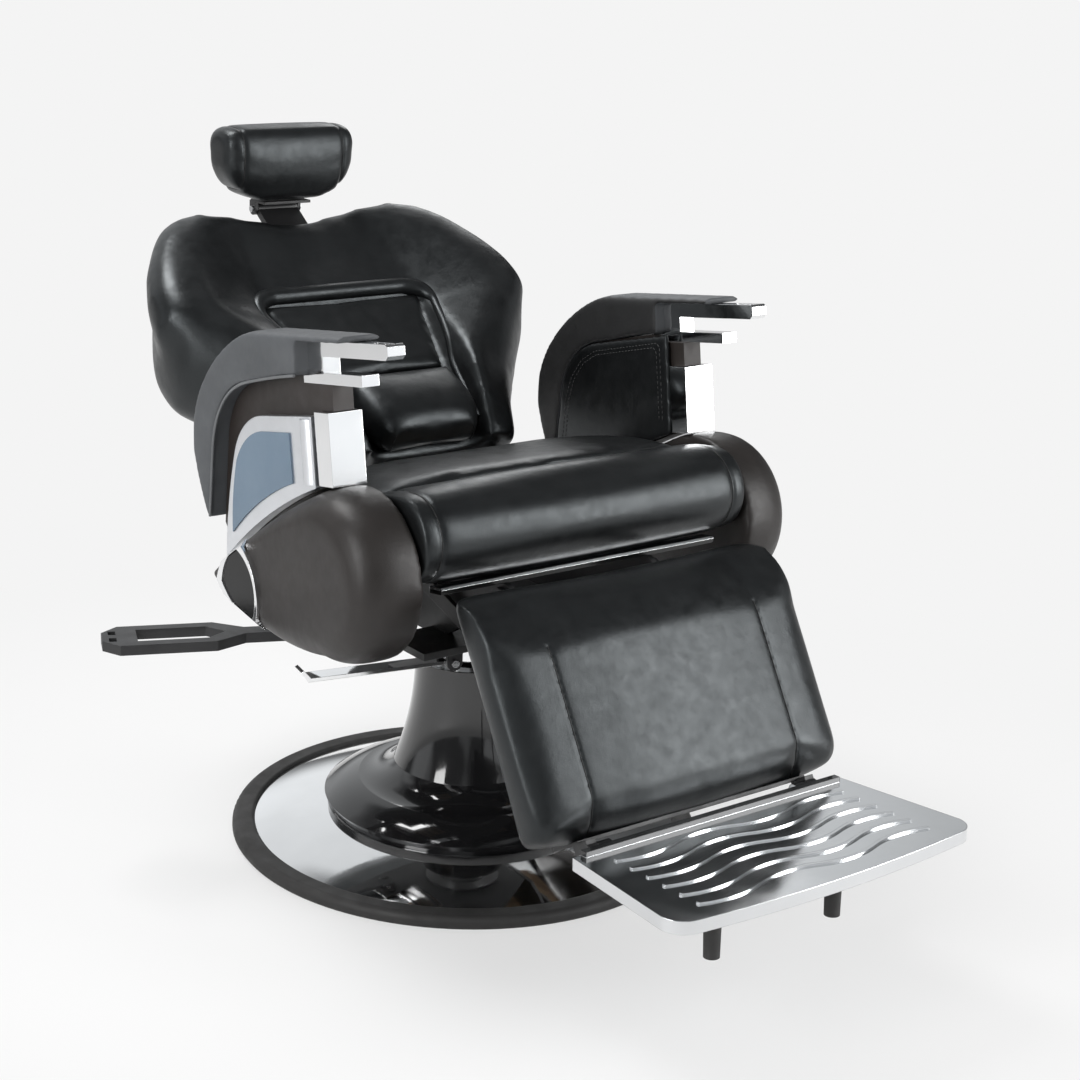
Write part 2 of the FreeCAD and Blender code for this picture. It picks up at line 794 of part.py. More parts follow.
def build_arms():
    top, front, bottom, tip = pod_marks()
    gap = S.seat_gap
    under = S.arm_top - S.arm_pad_thick
    nose_floor = S.arm_top - S.arm_nose_thick
    block_front = -S.post_front + 56
    knee = (60, under - 16)
    heel = (143, 58)
    toe = (172, -58)
    shoulder = (20, S.arm_top)
    elbow = (168, S.arm_top - 77)
    rump = (203, S.arm_top - 160)
    pad_outline = [(-S.arm_nose, nose_floor), (block_front, nose_floor), (block_front, under),
                   (block_front + 24, under), knee + (-bow(knee, heel, 17),), heel, toe + (bow(toe, rump, 5),),
                   rump + (bow(rump, elbow, 8),), elbow + (bow(elbow, shoulder, 14),), shoulder,
                   (-S.arm_nose, S.arm_top - 2)]

    # the edge that the arm stands on follows the pod
    post_rear = -S.post_front + S.post_depth
    foot_front = (post_rear + gap, top[1] + gap)
    foot_rear = (tip[0] + 6, tip[1] + 16)
    ride = -bow(foot_rear, foot_front, 11)
    core_top = S.post_top + gap
    upper = S.arm_top - S.arm_nose_thick - gap
    lower = upper - S.tongue_thick
    second = lower - S.tongue_gap
    hook_foot = second - S.hook_thick
    hook_rear = block_front + 14
    core_rear = [(knee[0], knee[1] - gap, -bow(knee, heel, 17)), (heel[0] - 1, heel[1] - 1),
                 (toe[0] - 2, toe[1] - 2)]
    core = [foot_rear + (-ride,), foot_front, (foot_front[0], core_top), (-S.post_front + 8, core_top),
            (-S.post_front + 8, hook_foot - gap), (hook_rear + gap, hook_foot - gap),
            (hook_rear + gap, under - gap)] + core_rear
    lining_edge = [foot_rear + (-ride,), foot_front, (foot_front[0], under - gap)] + core_rear

    rear_top = (19, core_top - 12)
    rear_mid = (100, 40)
    panel = [(foot_front[0] + 4, foot_front[1] - 1.5 + gap * 4), foot_rear + (bow(foot_rear, rear_mid, 5),),
             rear_mid + (bow(rear_mid, rear_top, 14),), rear_top, (foot_front[0] + 4, core_top - 6)]
    panel[0] = panel[0] + (bow(foot_front, foot_rear, 11) * -1,)
    inset = [(-50, 13), (118, -66), (92, 32), (24, 74), (-50, 77)]
    inset = [inset[0] + (-bow(inset[0], inset[1], 9),), inset[1] + (bow(inset[1], inset[2], 4),),
             inset[2] + (bow(inset[2], inset[3], 9),), inset[3], inset[4]]

    insets = []
    for side, name in ((-1, "right"), (1, "left")):
        arm = new_body(f"arm_pad_{name}", seat_place)
        pad(arm, "YZ_Plane", [pad_outline], slab_start(side, S.arm_inner, S.arm_outer),
            S.arm_outer - S.arm_inner)
        round_edges(arm, S.arm_pad_round, lambda e: is_pad_top(e, float(S.arm_top)))

        body = new_body(f"arm_core_{name}", seat_place)
        pad(body, "YZ_Plane", [core], slab_start(side, S.arm_core_inner, S.arm_core_outer),
            S.arm_core_outer - S.arm_core_inner)

        lining = new_body(f"arm_lining_{name}", seat_place)
        lining_outer = S.arm_core_inner - gap
        pad(lining, "YZ_Plane", [lining_edge], slab_start(side, S.arm_inner, lining_outer),
            lining_outer - S.arm_inner)

        face = new_body(f"arm_panel_{name}", seat_place)
        panel_inner = S.arm_core_outer + gap
        pad(face, "YZ_Plane", [panel], slab_start(side, panel_inner, S.arm_panel_outer),
            S.arm_panel_outer - panel_inner)

        root_x = (S.arm_panel_outer - 1) * side
        flute = ((root_x, foot_front[0] + 7), (root_x, foot_front[0] + 31))
        bulge = bow(flute[0], flute[1], S.flute_rise + 1) * side
        flute_foot = foot_front[1] + 3
        pad(face, "XY_Plane", [[flute[0] + (bulge,), flute[1]]], flute_foot, core_top - 10 - flute_foot)

        tile = doc.addObject("PartDesign::Body", f"arm_inset_{name}")
        pad(tile, "YZ_Plane", [inset], slab_start(side, S.arm_panel_outer, S.arm_panel_outer + S.inset_thick),
            S.inset_thick)
        insets.append(tile)

        post = new_body(f"arm_post_{name}", seat_place)
        post_foot = S.pod_radius - S.pod_drop + gap
        pad(post, "YZ_Plane", [rectangle(-S.post_front, post_rear, post_foot, S.post_top)],
            slab_start(side, S.post_inner, S.post_outer), S.post_outer - S.post_inner)

        hook = new_body(f"arm_bracket_{name}", seat_place)
        heel_y = block_front - gap
        outline = [(hook_rear, hook_foot), (-S.hook_reach, hook_foot), (-S.hook_reach, second),
                   (heel_y - 34, second), (heel_y - 34, lower), (-S.tongue_reach + 5, lower),
                   (-S.tongue_reach, lower + 5), (-S.tongue_reach, upper - 3), (-S.tongue_reach + 4, upper),
                   (heel_y, upper), (heel_y, under - gap), (hook_rear, under - gap)]
        pad(hook, "YZ_Plane", [outline[::-1]], slab_start(side, S.bracket_inner, S.bracket_outer),
            S.bracket_outer - S.bracket_inner)
        centre_x = (S.bracket_inner + S.bracket_outer) / 2 * side
        slot = rectangle(centre_x - 4, centre_x + 4, -S.tongue_reach + 10, -S.tongue_reach + 44)
        pocket(hook, "XY_Plane", [slot], upper - 3, 4)
    group("arm_insets", insets, seat_place)


def is_pad_top(edge, top):
    """Long edges of the arm pad's top, over its whole run from nose to elbow."""
    centre = edge.CenterOfMass
    return abs(edge.tangentAt(edge.FirstParameter).x) < 0.5 and centre.z > top - 3 and edge.Length > 60


# Back

def build_back(quadrant_x):
    ear_in = S.side_plate_x + S.side_plate_thick + S.frame_gap * 3
    ear_out = ear_in + S.ear_thick
    bar_front = S.back_rear + S.seat_gap
    bar_rear = bar_front + S.frame_bar
    pin_turn = S.back_recline - 7
    pin_y = S.back_arm * sine(pin_turn)
    pin_z = -S.back_arm * cosine(pin_turn)
    pin_boss = S.link_pin_radius + 6

    frame = new_body("back_frame", back_place)
    upright = [(bar_front, 0), (S.ear_radius, 0), (bar_rear, 40), (bar_rear, S.upright_top),
               (bar_front, S.upright_top)]
    arm = [(-pin_boss, 0), (pin_y - pin_boss * 0.8, pin_z), (pin_y + pin_boss * 0.8, pin_z), (pin_boss, 0)]
    lower_bar = rectangle(-ear_out, ear_out, bar_front, bar_rear)
    pad(frame, "XY_Plane", [lower_bar], S.upright_top - 30, 30)
    for side in (-1, 1):
        start = slab_start(side, ear_in, ear_out)
        pad(frame, "YZ_Plane", [upright], start, S.ear_thick)
        pad(frame, "YZ_Plane", [[(0, 0, S.ear_radius)]], start, S.ear_thick)
        pad(frame, "YZ_Plane", [arm], start, S.ear_thick)
        pad(frame, "YZ_Plane", [[(pin_y, pin_z, pin_boss)]], start, S.ear_thick)
        peg = slab_start(side, ear_out, ear_out + S.link_thick + 4)
        pad(frame, "YZ_Plane", [[(pin_y, pin_z, S.link_pin_radius)]], peg, S.link_thick + 4)
    pad(frame, "XY_Plane", [lower_bar], 70, 30)
    pocket(frame, "YZ_Plane", [[(0, 0, S.shaft_radius + S.running)]], -ear_out - 1, ear_out * 2 + 2)

    shaft = new_body("back_shaft", back_place)
    shaft_half = ear_out + 4
    pad(shaft, "YZ_Plane", [[(0, 0, S.shaft_radius)]], -shaft_half, shaft_half * 2)

    quadrant = new_body("recline_quadrant", back_place)
    turn = S.back_recline
    r = S.quadrant_radius
    first = (r * sine(turn - 44), -r * cosine(turn - 44))
    last = (r * sine(turn + 50), -r * cosine(turn + 50))
    middle = (r * sine(turn), -r * cosine(turn))
    start = -quadrant_x - S.quadrant_thick / 2
    pad(quadrant, "YZ_Plane", [[(0, 0), first + (r,), middle + (r,), last]], start, S.quadrant_thick)
    pad(quadrant, "YZ_Plane", [[(0, 0, S.ear_radius)]], start, S.quadrant_thick)
    pocket(quadrant, "YZ_Plane", [[(0, 0, S.shaft_radius + S.running)]], start - 1, S.quadrant_thick + 2)

    guide = new_body("headrest_guide", back_place)
    slip = S.seat_gap / 2
    wall = S.guide_wall
    g_front = -S.stem_y - S.stem_thick / 2
    sleeve = rectangle(-S.stem_half - wall, S.stem_half + wall, g_front - wall / 2, S.back_rear)
    slot = rectangle(-S.stem_half - slip, S.stem_half + slip, g_front - slip, g_front + S.stem_thick + slip)
    pad(guide, "XY_Plane", [sleeve, slot], S.upright_top - S.guide_height + 20, S.guide_height)

    build_back_upholstery(g_front - wall / 2)


BACK_STATIONS = (
    # share of the length, half width over the foot's in front and at the rear, front of the middle, of the wings
    (0.05, 0.0, 0.0, 40, 40),
    (0.18, 0.11, 0.18, 62, 56),
    (0.30, 0.28, 0.40, 66, 66),
    (0.41, 0.53, 0.70, 48, 76),
    (0.47, 0.66, 0.90, 38, 80),
    (0.585, 0.97, 0.94, 28, 84),
    (0.685, 0.95, 0.84, 28, 84),
    (0.79, 0.83, 0.70, 30, 80),
    (0.89, 0.65, 0.51, 36, 74),
    (0.955, 0.5, 0.38, 40, 66),
    (1.0, 0.27, 0.19, 42, 58),
)


SHELL_STATIONS = (
    # share of the length, half width over the foot's, share of the depth
    (0.06, 0.0, 0.36),
    (0.27, 0.36, 0.66),
    (0.40, 0.70, 0.92),
    (0.475, 0.92, 1.0),
    (0.57, 0.94, 1.0),
    (0.65, 0.87, 0.96),
    (0.80, 0.69, 0.78),
    (0.945, 0.40, 0.36),
)


def back_half(share):
    return S.back_foot_half + (S.back_wing_half - S.back_foot_half) * share


def build_back_upholstery(guide_front):
    rear = float(S.back_rear)
    sections = []
    for share, spread, flare, middle, wing in BACK_STATIONS:
        half = float(back_half(spread))
        rim = float(back_half(flare)) - 7
        side = rear - (rear + wing) * 0.6
        flat = half * 0.42
        points = [(half, side, 8), (rim, rear), (-rim, rear, 8), (-half, side, 8),
                  (34 - half, -wing, 3), (-flat, -middle), (flat, -middle, 3), (half - 34, -wing, 8)]
        sections.append(wire(points, level(S.back_length * share)))
    cushion = loft(sections, True)
    length = float(S.back_length)
    dip = 170.0
    notch = Part.makeCylinder(dip, 400, Vector(0, -300, length - 13 + dip), Vector(0, 1, 0))
    cushion = cushion.cut(notch)
    channel = float(S.stem_half + S.guide_wall + S.seat_gap * 2)
    front = float(guide_front - S.seat_gap)
    foot = float(S.stem_foot) - 4
    cushion = cushion.cut(Part.makeBox(channel * 2, rear + 40 - front, length, Vector(-channel, front, foot)))
    cushion = cushion.cut(panel_block(float(S.panel_foot) - 30, float(S.panel_top), float(S.panel_groove)))
    soft("back_cushion", cushion, back_place)

    soft("back_panel", panel_pad(S.panel_split, S.panel_top, S.panel_half_split, S.panel_half_top,
                                 S.panel_thick, 5), back_place)
    soft("lumbar_pad", panel_pad(S.panel_foot, S.panel_split - S.panel_groove, S.panel_half_foot,
                                 S.panel_half_split, S.lumbar_thick, 30), back_place)

    # rear cover: a deep tray behind the frame
    sections = []
    hollow = []
    wall = float(S.shell_wall)
    face = rear + float(S.seat_gap)
    for share, spread, depth in SHELL_STATIONS:
        half = float(back_half(spread)) - 6
        deep = face + float(S.shell_depth) * depth
        z = length * share
        sections.append(wire(tray_section(half, face, deep), level(z)))
        hollow.append(wire(tray_section(half - wall, face - 2, max(deep - wall, face + 2)), level(z)))
    tray = loft(sections, True).cut(loft(hollow, True))
    soft("back_shell", tray.cut(shell_mouth(face)), back_place)


def tray_section(half, face, deep):
    edge = (deep - face) * 0.35
    return [(half, face), (half - 6, deep - edge, edge * 0.25), (half - 14 - edge, deep, 2),
            (14 + edge - half, deep, edge * 0.25), (6 - half, deep - edge), (-half, face)]


def shell_mouth(face):
    """Room for the frame's ears where they leave the tray's foot."""
    reach = float(S.side_plate_x + S.side_plate_thick + S.ear_thick) + 8
    return Part.makeBox(reach * 2, 26, 70, Vector(-reach, face - 1, -10))


def panel_block(foot, top, groove):
    """Cut-away for the two middle pads, open at the foot."""
    floor = -float(S.panel_floor)
    low = float(S.panel_half_foot) + groove
    high = float(S.panel_half_top) + groove
    points = [(-low, foot), (low, foot), (high, top + groove), (-high, top + groove)]
    return Part.Face(wire(points, facing(floor))).extrude(Vector(0, -200, 0))


def panel_pad(foot, top, half_foot, half_top, thick, crown):
    foot, top, low, high = float(foot), float(top), float(half_foot), float(half_top)
    deep = float(thick)
    floor = -float(S.panel_floor) - float(S.seat_gap)
    layers = ((0, 0), (deep - crown, 0), (deep - crown * 0.35, 7), (deep, 20))
    wires = []
    for rise, shrink in layers:
        points = [(shrink - low, foot + shrink), (low - shrink, foot + shrink), (high - shrink, top - shrink),
                  (shrink - high, top - shrink)]
        wires.append(wire(points, facing(floor - rise)))
    return loft(wires, True)


# Headrest

def build_headrest():
    stem = new_body("headrest_stem", back_place)
    mid = -S.stem_y
    half_thick = S.stem_thick / 2
    barrel = S.head_pin_radius + 4
    pad(stem, "XZ_Plane", [rectangle(-S.stem_half, S.stem_half, S.stem_foot, head_hinge_z - barrel / 2)],
        -mid - half_thick, S.stem_thick)
    pad(stem, "YZ_Plane", [[(mid, head_hinge_z, barrel)]], -S.stem_half, S.stem_half * 2)
    pocket(stem, "YZ_Plane", [[(mid, head_hinge_z, S.head_pin_radius + S.running)]],
           -S.stem_half - 1, S.stem_half * 2 + 2)

    yoke = new_body("headrest_bracket", head_place)
    lug_in = S.stem_half + S.frame_gap
    lug_thick = 5
    base = S.pillow_lift - 4.3
    reach = lug_in + lug_thick
    pad(yoke, "XY_Plane", [rectangle(-reach, reach, S.pillow_shift - 18, S.pillow_shift + 26)], base, 4)
    for side in (-1, 1):
        start = slab_start(side, lug_in, reach)
        pad(yoke, "YZ_Plane", [rectangle(-barrel, barrel, 0, base + 2)], start, lug_thick)
        pad(yoke, "YZ_Plane", [[(0, 0, barrel)]], start, lug_thick)
    pocket(yoke, "YZ_Plane", [[(0, 0, S.head_pin_radius + S.running)]], -lug_in - 10, lug_in * 2 + 20)

    pin = new_body("headrest_pin", head_place)
    pin_half = lug_in + lug_thick + 3
    pad(pin, "YZ_Plane", [[(0, 0, S.head_pin_radius)]], -pin_half, pin_half * 2)

    sections = []
    base_z = float(S.pillow_lift)
    tall, deep, shift = float(S.pillow_height), float(S.pillow_depth), float(S.pillow_shift)
    half_stations = ((1, 0.42, 0.46, 0.84), (0.96, 0.7, 0.36, 0.93), (0.87, 0.92, 0.23, 0.98),
                     (0.7, 1, 0.09, 1), (0.45, 1, 0, 1))
    stations = [(-x, d, low, top) for x, d, low, top in half_stations] + list(half_stations[::-1])
    for x, shrink, foot_share, top_share in stations:
        half_d = deep / 2 * shrink
        top = base_z + tall * top_share
        low = base_z + tall * foot_share
        foot_half = half_d * 0.62
        waist = low + (top - low) * 0.45
        shoulder = half_d * 0.7
        points = [(shift - foot_half, low), (shift + foot_half, low, 5), (shift + half_d, waist, 7),
                  (shift + shoulder, top - 6, 4), (shift - shoulder, top - 6, 7), (shift - half_d, waist, 5)]
        sections.append(wire(points, across(float(S.pillow_half) * x)))
    soft("headrest_pillow", loft(sections, True), head_place)


# Legrest, its links and the footplate

def build_legrest():
    arm_in = S.side_plate_x + S.side_plate_thick + S.frame_gap * 3
    arm_out = arm_in + S.ear_thick
    turn = S.leg_angle - 3
    pin_y = S.leg_arm * sine(turn)
    pin_z = -S.leg_arm * cosine(turn)
    boss = S.link_pin_radius + 6
    plate_rear = -S.leg_rear + S.leg_plate_thick + S.seat_gap
    plate_foot = -S.leg_foot - 6
    hub = S.leg_shaft_radius + 8

    frame = new_body("legrest_frame", leg_place)
    plate_front = -plate_rear
    pad(frame, "XZ_Plane", [rectangle(-S.leg_plate_half, S.leg_plate_half, plate_foot, -60)],
        plate_front, S.leg_plate_thick)
    shin = [(plate_rear, -170), (plate_rear - 2, -62), (-hub, 0), (hub, 0), (hub * 0.6, -40)]
    lug = [(pin_y - boss * 0.8, pin_z), (pin_y + boss * 0.8, pin_z), (boss, 0), (-boss, 0)]
    for side in (-1, 1):
        start = slab_start(side, arm_in, arm_out)
        pad(frame, "YZ_Plane", [shin[::-1]], start, S.ear_thick)
        pad(frame, "YZ_Plane", [[(0, 0, hub)]], start, S.ear_thick)
        pad(frame, "YZ_Plane", [lug], start, S.ear_thick)
        pad(frame, "YZ_Plane", [[(pin_y, pin_z, boss)]], start, S.ear_thick)
        peg = slab_start(side, arm_out, arm_out + S.link_thick + 4)
        pad(frame, "YZ_Plane", [[(pin_y, pin_z, S.link_pin_radius)]], peg, S.link_thick + 4)
    pocket(frame, "YZ_Plane", [[(0, 0, S.leg_shaft_radius + S.running)]], -arm_out - 1, arm_out * 2 + 2)

    bar = new_body("foot_bar", leg_place)
    strap_top = -S.leg_foot - S.seat_gap
    eye = S.foot_pin_radius + 5
    strap_front = -S.foot_hinge_y + eye + 2
    bar_rear = -S.leg_rear
    lug_in = S.foot_lug_x + S.foot_lug_width + S.frame_gap
    bar_half = lug_in + S.foot_cheek
    strap = rectangle(-bar_half, bar_half, strap_front, bar_rear)
    pad(bar, "XY_Plane", [strap], strap_top - 5, 5)
    for side in (-1, 1):
        start = slab_start(side, lug_in, bar_half)
        cheek = rectangle(-S.foot_hinge_y - 4, strap_front + 12, -S.foot_hinge_drop, strap_top - 2)
        pad(bar, "YZ_Plane", [cheek], start, S.foot_cheek)
        pad(bar, "YZ_Plane", [[(-S.foot_hinge_y, -S.foot_hinge_drop, eye)]], start, S.foot_cheek)
    bore = [[(-S.foot_hinge_y, -S.foot_hinge_drop, S.foot_pin_radius + S.running)]]
    pocket(bar, "YZ_Plane", bore, -bar_half - 1, bar_half * 2 + 2)

    pins = []
    pin_from = S.foot_lug_x - 2
    pin_length = bar_half + 2 - pin_from
    for side in (-1, 1):
        start = slab_start(side, pin_from, pin_from + pin_length)
        pins.append(cylinder(f"foot_pin_{side + 2}", S.foot_pin_radius, pin_length,
                             (start, -S.foot_hinge_y, -S.foot_hinge_drop), Vector(1, 0, 0)))
    group("foot_pins", pins, leg_place)

    sections = []
    half, seam = float(S.leg_half), float(S.leg_seam)
    rear, front = -float(S.leg_rear), -float(S.leg_front)
    top, foot = float(S.leg_top), -float(S.leg_foot)
    half_stations = ((half, 18, 12, 24), (half - 8, 7, 5, 10), (half - 22, 3, 1, 0), (seam + 5, 1, 0, 0),
                     (seam, 5, 0, 0), (seam - 5, 0, 0, 0), (seam / 2, -3, 0, 0))
    stations = [(-x, *rest) for x, *rest in half_stations] + list(half_stations[::-1])
    for x, sink, draw_in, hollow in stations:
        face = front + sink
        crest = top - draw_in
        low = foot + draw_in
        spine = rear - hollow
        points = [(spine, low), (spine, crest - 12, 3.5), (spine - 12, crest, 17), (face, crest - 96),
                  (face, low + 30, 7), (face + 24, low)]
        sections.append(wire(points, across(x)))
    soft("legrest_cushion", loft(sections, True), leg_place)
    return arm_out


def build_links(arm_out):
    leg_turn = S.leg_angle - 3
    back_turn = S.back_recline - 7
    front = swung_point(leg_hinge, S.leg_angle, S.leg_arm * sine(leg_turn), -S.leg_arm * cosine(leg_turn))
    rear = swung_point(back_hinge, S.back_recline, S.back_arm * sine(back_turn),
                       -S.back_arm * cosine(back_turn))
    run, rise = rear[0] - front[0], rear[1] - front[1]
    reach = root(run * run + rise * rise)
    lean = math.degrees(math.atan2(float(rise), float(run)))
    place = Placement(Vector(0, float(front[0]), float(front[1])), Rotation(Vector(1, 0, 0), lean))
    half = S.link_half
    eye = S.link_pin_radius + S.link_slack + 5
    slack = S.link_pin_radius + S.link_slack
    links = []
    for side, name in ((-1, "right"), (1, "left")):
        link = doc.addObject("PartDesign::Body", f"legrest_link_{name}")
        start = slab_start(side, arm_out + S.frame_gap, arm_out + S.frame_gap + S.link_thick)
        pad(link, "YZ_Plane", [rectangle(0, reach, -half, half)], start, S.link_thick)
        pad(link, "YZ_Plane", [[(0, 0, half)]], start, S.link_thick)
        pad(link, "YZ_Plane", [[(reach, 0, eye)]], start, S.link_thick)
        pocket(link, "YZ_Plane", [[(0, 0, S.link_pin_radius + S.running)], [(reach, 0, slack)]], start - 1,
               S.link_thick + 2)
        links.append(link)
    group("legrest_links", links, place)


def plate_outline(inset):
    """The footplate seen from above: rounded front corners and a bowed front edge."""
    back = -S.foot_back - inset
    front = -S.foot_front + inset
    half_back = S.foot_half_back - inset
    half_front = S.foot_half_front - inset
    corner = S.foot_corner
    nose = (-half_front + corner, front)
    return [(half_back, back), (-half_back, back), (-half_front, front + corner, corner * 1.05),
            nose + (bow(nose, (half_front - corner, front), S.foot_bow),),
            (half_front - corner, front, corner * 1.05), (half_front, front + corner)]


def build_footplate():
    plate = new_body("footplate", foot_place)
    floor = S.foot_top - S.foot_edge
    pad(plate, "XY_Plane", [plate_outline(0)], floor, S.foot_edge)
    pocket(plate, "XY_Plane", [plate_outline(S.foot_skin)], floor, S.foot_edge - S.foot_skin)
    lip = S.foot_half_back - 12
    pad(plate, "XY_Plane", [rectangle(-lip, lip, -S.foot_back - 10, -S.foot_back)], S.foot_top - 1, 8)
    wave_from = -S.foot_half_back + 34
    step = (S.foot_half_back - 34) / 2
    first_rib = -S.foot_back - 36
    for index in range(int(float(S.rib_count))):
        y = first_rib - S.rib_pitch * index
        pad(plate, "XY_Plane", [wave(wave_from, step, y)], S.foot_top - 0.5, S.rib_height + 0.5)
    eye = S.foot_pin_radius + 5
    lug_out = S.foot_lug_x + S.foot_lug_width
    for side in (-1, 1):
        start = slab_start(side, S.foot_lug_x, lug_out)
        pad(plate, "YZ_Plane", [rectangle(-S.foot_back - 2, 0, -eye, eye - 2)], start, S.foot_lug_width)
        pad(plate, "YZ_Plane", [[(0, 0, eye)]], start, S.foot_lug_width)
    pocket(plate, "YZ_Plane", [[(0, 0, S.foot_pin_radius + S.running)]], -lug_out - 1, lug_out * 2 + 2)

    pegs = []
    underside = S.foot_top - S.foot_skin - S.seat_gap
    for side in (-1, 1):
        peg = doc.addObject("Part::Cone", f"foot_peg_{side + 2}")
        bind(peg, "Radius1", S.peg_tip_radius)
        bind(peg, "Radius2", S.peg_radius)
        bind(peg, "Height", S.peg_length)
        bind(peg, "Placement.Base.x", S.peg_x * side)
        bind(peg, "Placement.Base.y", -S.peg_y)
        bind(peg, "Placement.Base.z", underside - S.peg_length)
        pegs.append(peg)
    group("foot_pegs", pegs, foot_place)


def wave(start, step, y):
    """A narrow band across the plate that swings forward and back in four even arcs."""
    half = S.rib_width / 2
    bend = bow((0, 0), (step, 0), S.rib_wave)
    near, far = [], []
    for index in range(4):
        x = start + step * index
        turn = bend if index % 2 == 0 else -bend
        near.append((x, y - half, turn))
        far.append((x + step, y + half, -turn))
    end = (start + step * 4, y - half)
    return near + [end] + far[::-1] + [(start, y + half)]


# Levers and their brackets

def build_levers():
    pod_low = seat_point(-S.pod_y, -S.pod_drop)[1] - S.pod_radius
    level_z = lower_of(hub_floor - S.lever_drop, pod_low - S.lever_clear)
    place = Placement(Vector(-float(S.lever_pivot_x), float(S.lever_pivot_y), float(level_z)),
                      Rotation(Vector(0, 0, 1), -float(S.lever_turn)))
    lever = new_body("recline_lever", place)
    half = S.lever_width / 2
    shank = S.lever_shank / 2
    neck = -S.lever_length + S.lever_loop
    thick = S.lever_thick
    tip = -S.lever_length
    loop = [(shank, -shank), (shank, shank), (neck, shank), (neck - 40, half), (tip + 22, half),
            (tip, half - 22), (tip, 22 - half), (tip + 22, -half), (neck - 40, -half), (neck, -shank)]
    pad(lever, "XY_Plane", [loop], -thick / 2, thick)
    slot_half = S.lever_slot_width / 2
    slot_end = neck - 26
    hole = [(slot_end, 0), (slot_end - 24, slot_half), (slot_end - S.lever_slot, slot_half),
            (slot_end - S.lever_slot, -slot_half), (slot_end - 24, -slot_half)]
    far = half - 18
    small = [rectangle(tip + 9, tip + 19, 6, far), rectangle(tip + 9, tip + 19, -far, -6)]
    pocket(lever, "XY_Plane", [hole] + small, -thick / 2 - 1, thick + 2)
    pocket(lever, "XZ_Plane", [[(0, 0, S.lever_pin_radius + S.running)]], -half, S.lever_width)

    bracket = new_body("lever_bracket", place)
    cheek_in = shank + S.frame_gap
    yoke(bracket, cheek_in, 6, hub_floor - level_z)

    lift_z = lower_of(hub_floor - S.lift_drop, pod_low - S.lift_clear)
    lift_place = Placement(Vector(-float(S.lift_pivot_x), -float(S.lift_pivot_y), float(lift_z)),
                           Rotation(Vector(0, 0, 1), -float(S.lift_turn)))
    lift = new_body("lift_lever", lift_place)
    wide = S.lift_width / 2
    low = -S.lift_thick / 2
    eye = S.lever_pin_radius + 4
    end = -S.lift_length
    rise = S.lift_tip_rise
    bar = [(0, low), (0, -low), (end + 10, -low), (end, rise), (end - 4, rise - 2), (end + 6, low)]
    pad(lift, "XZ_Plane", [bar], -wide, S.lift_width)
    pad(lift, "XZ_Plane", [[(0, 0, eye)]], -wide, S.lift_width)
    pocket(lift, "XZ_Plane", [[(0, 0, S.lever_pin_radius + S.running)]], -wide - 1, S.lift_width + 2)
    lift_bracket = new_body("lift_bracket", lift_place)
    yoke(lift_bracket, wide + S.frame_gap, 5, hub_floor - lift_z)

    pins = []
    for name, at, gap, turn, height in (
            ("lever_pin", (S.lever_pivot_x, -S.lever_pivot_y), cheek_in + 9, S.lever_turn, level_z),
            ("lift_pin", (S.lift_pivot_x, S.lift_pivot_y), wide + 9, S.lift_turn, lift_z)):
        axis = Vector(-math.sin(math.radians(float(turn))), -math.cos(math.radians(float(turn))), 0)
        base = (gap * sine(turn) - at[0], gap * cosine(turn) - at[1], height)
        pins.append(cylinder(name, S.lever_pin_radius, gap * 2, base, axis))
    group("lever_pins", pins)


def yoke(body, cheek_in, cheek_thick, drop):
    """Two cheeks round a lever's eye, hung from a foot under the seat's plate."""
    eye = S.lever_pin_radius + 6
    foot = 4
    reach = cheek_in + cheek_thick
    pad(body, "XY_Plane", [rectangle(-eye, eye, -reach, reach)], drop - foot, foot)
    for start in (-reach, cheek_in):
        pad(body, "XZ_Plane", [rectangle(-eye, eye, 0, drop - 1)], start, cheek_thick)
        pad(body, "XZ_Plane", [[(0, 0, eye)]], start, cheek_thick)
    pocket(body, "XZ_Plane", [[(0, 0, S.lever_pin_radius + S.running)]], -reach - 1, reach * 2 + 2)


build_base()
clamp_x = build_underframe()
build_seat()
build_pods()
build_arms()
build_back(clamp_x)
build_headrest()
link_inner = build_legrest()
build_links(link_inner)
build_footplate()
build_levers()
doc.recompute()

# Nothing is written unless every object and every shape is sound.
broken = [item.Name for item in doc.Objects if "Invalid" in item.State or "Error" in item.State]
for node in nodes:
    if node.Shape.isNull() or not node.Shape.isValid() or not node.Shape.Solids:
        broken.append(node.Label)
if broken:
    raise RuntimeError("unsound: " + ", ".join(broken))

os.makedirs("parts", exist_ok=True)
for node in nodes:
    node.Shape.exportStep(f"parts/{node.Label}.step")
print(len(nodes), "sub-parts written")
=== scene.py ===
import json
import math
import time

import bmesh
import bpy
import numpy as np
from mathutils import Matrix, Vector
from mathutils.bvhtree import BVHTree


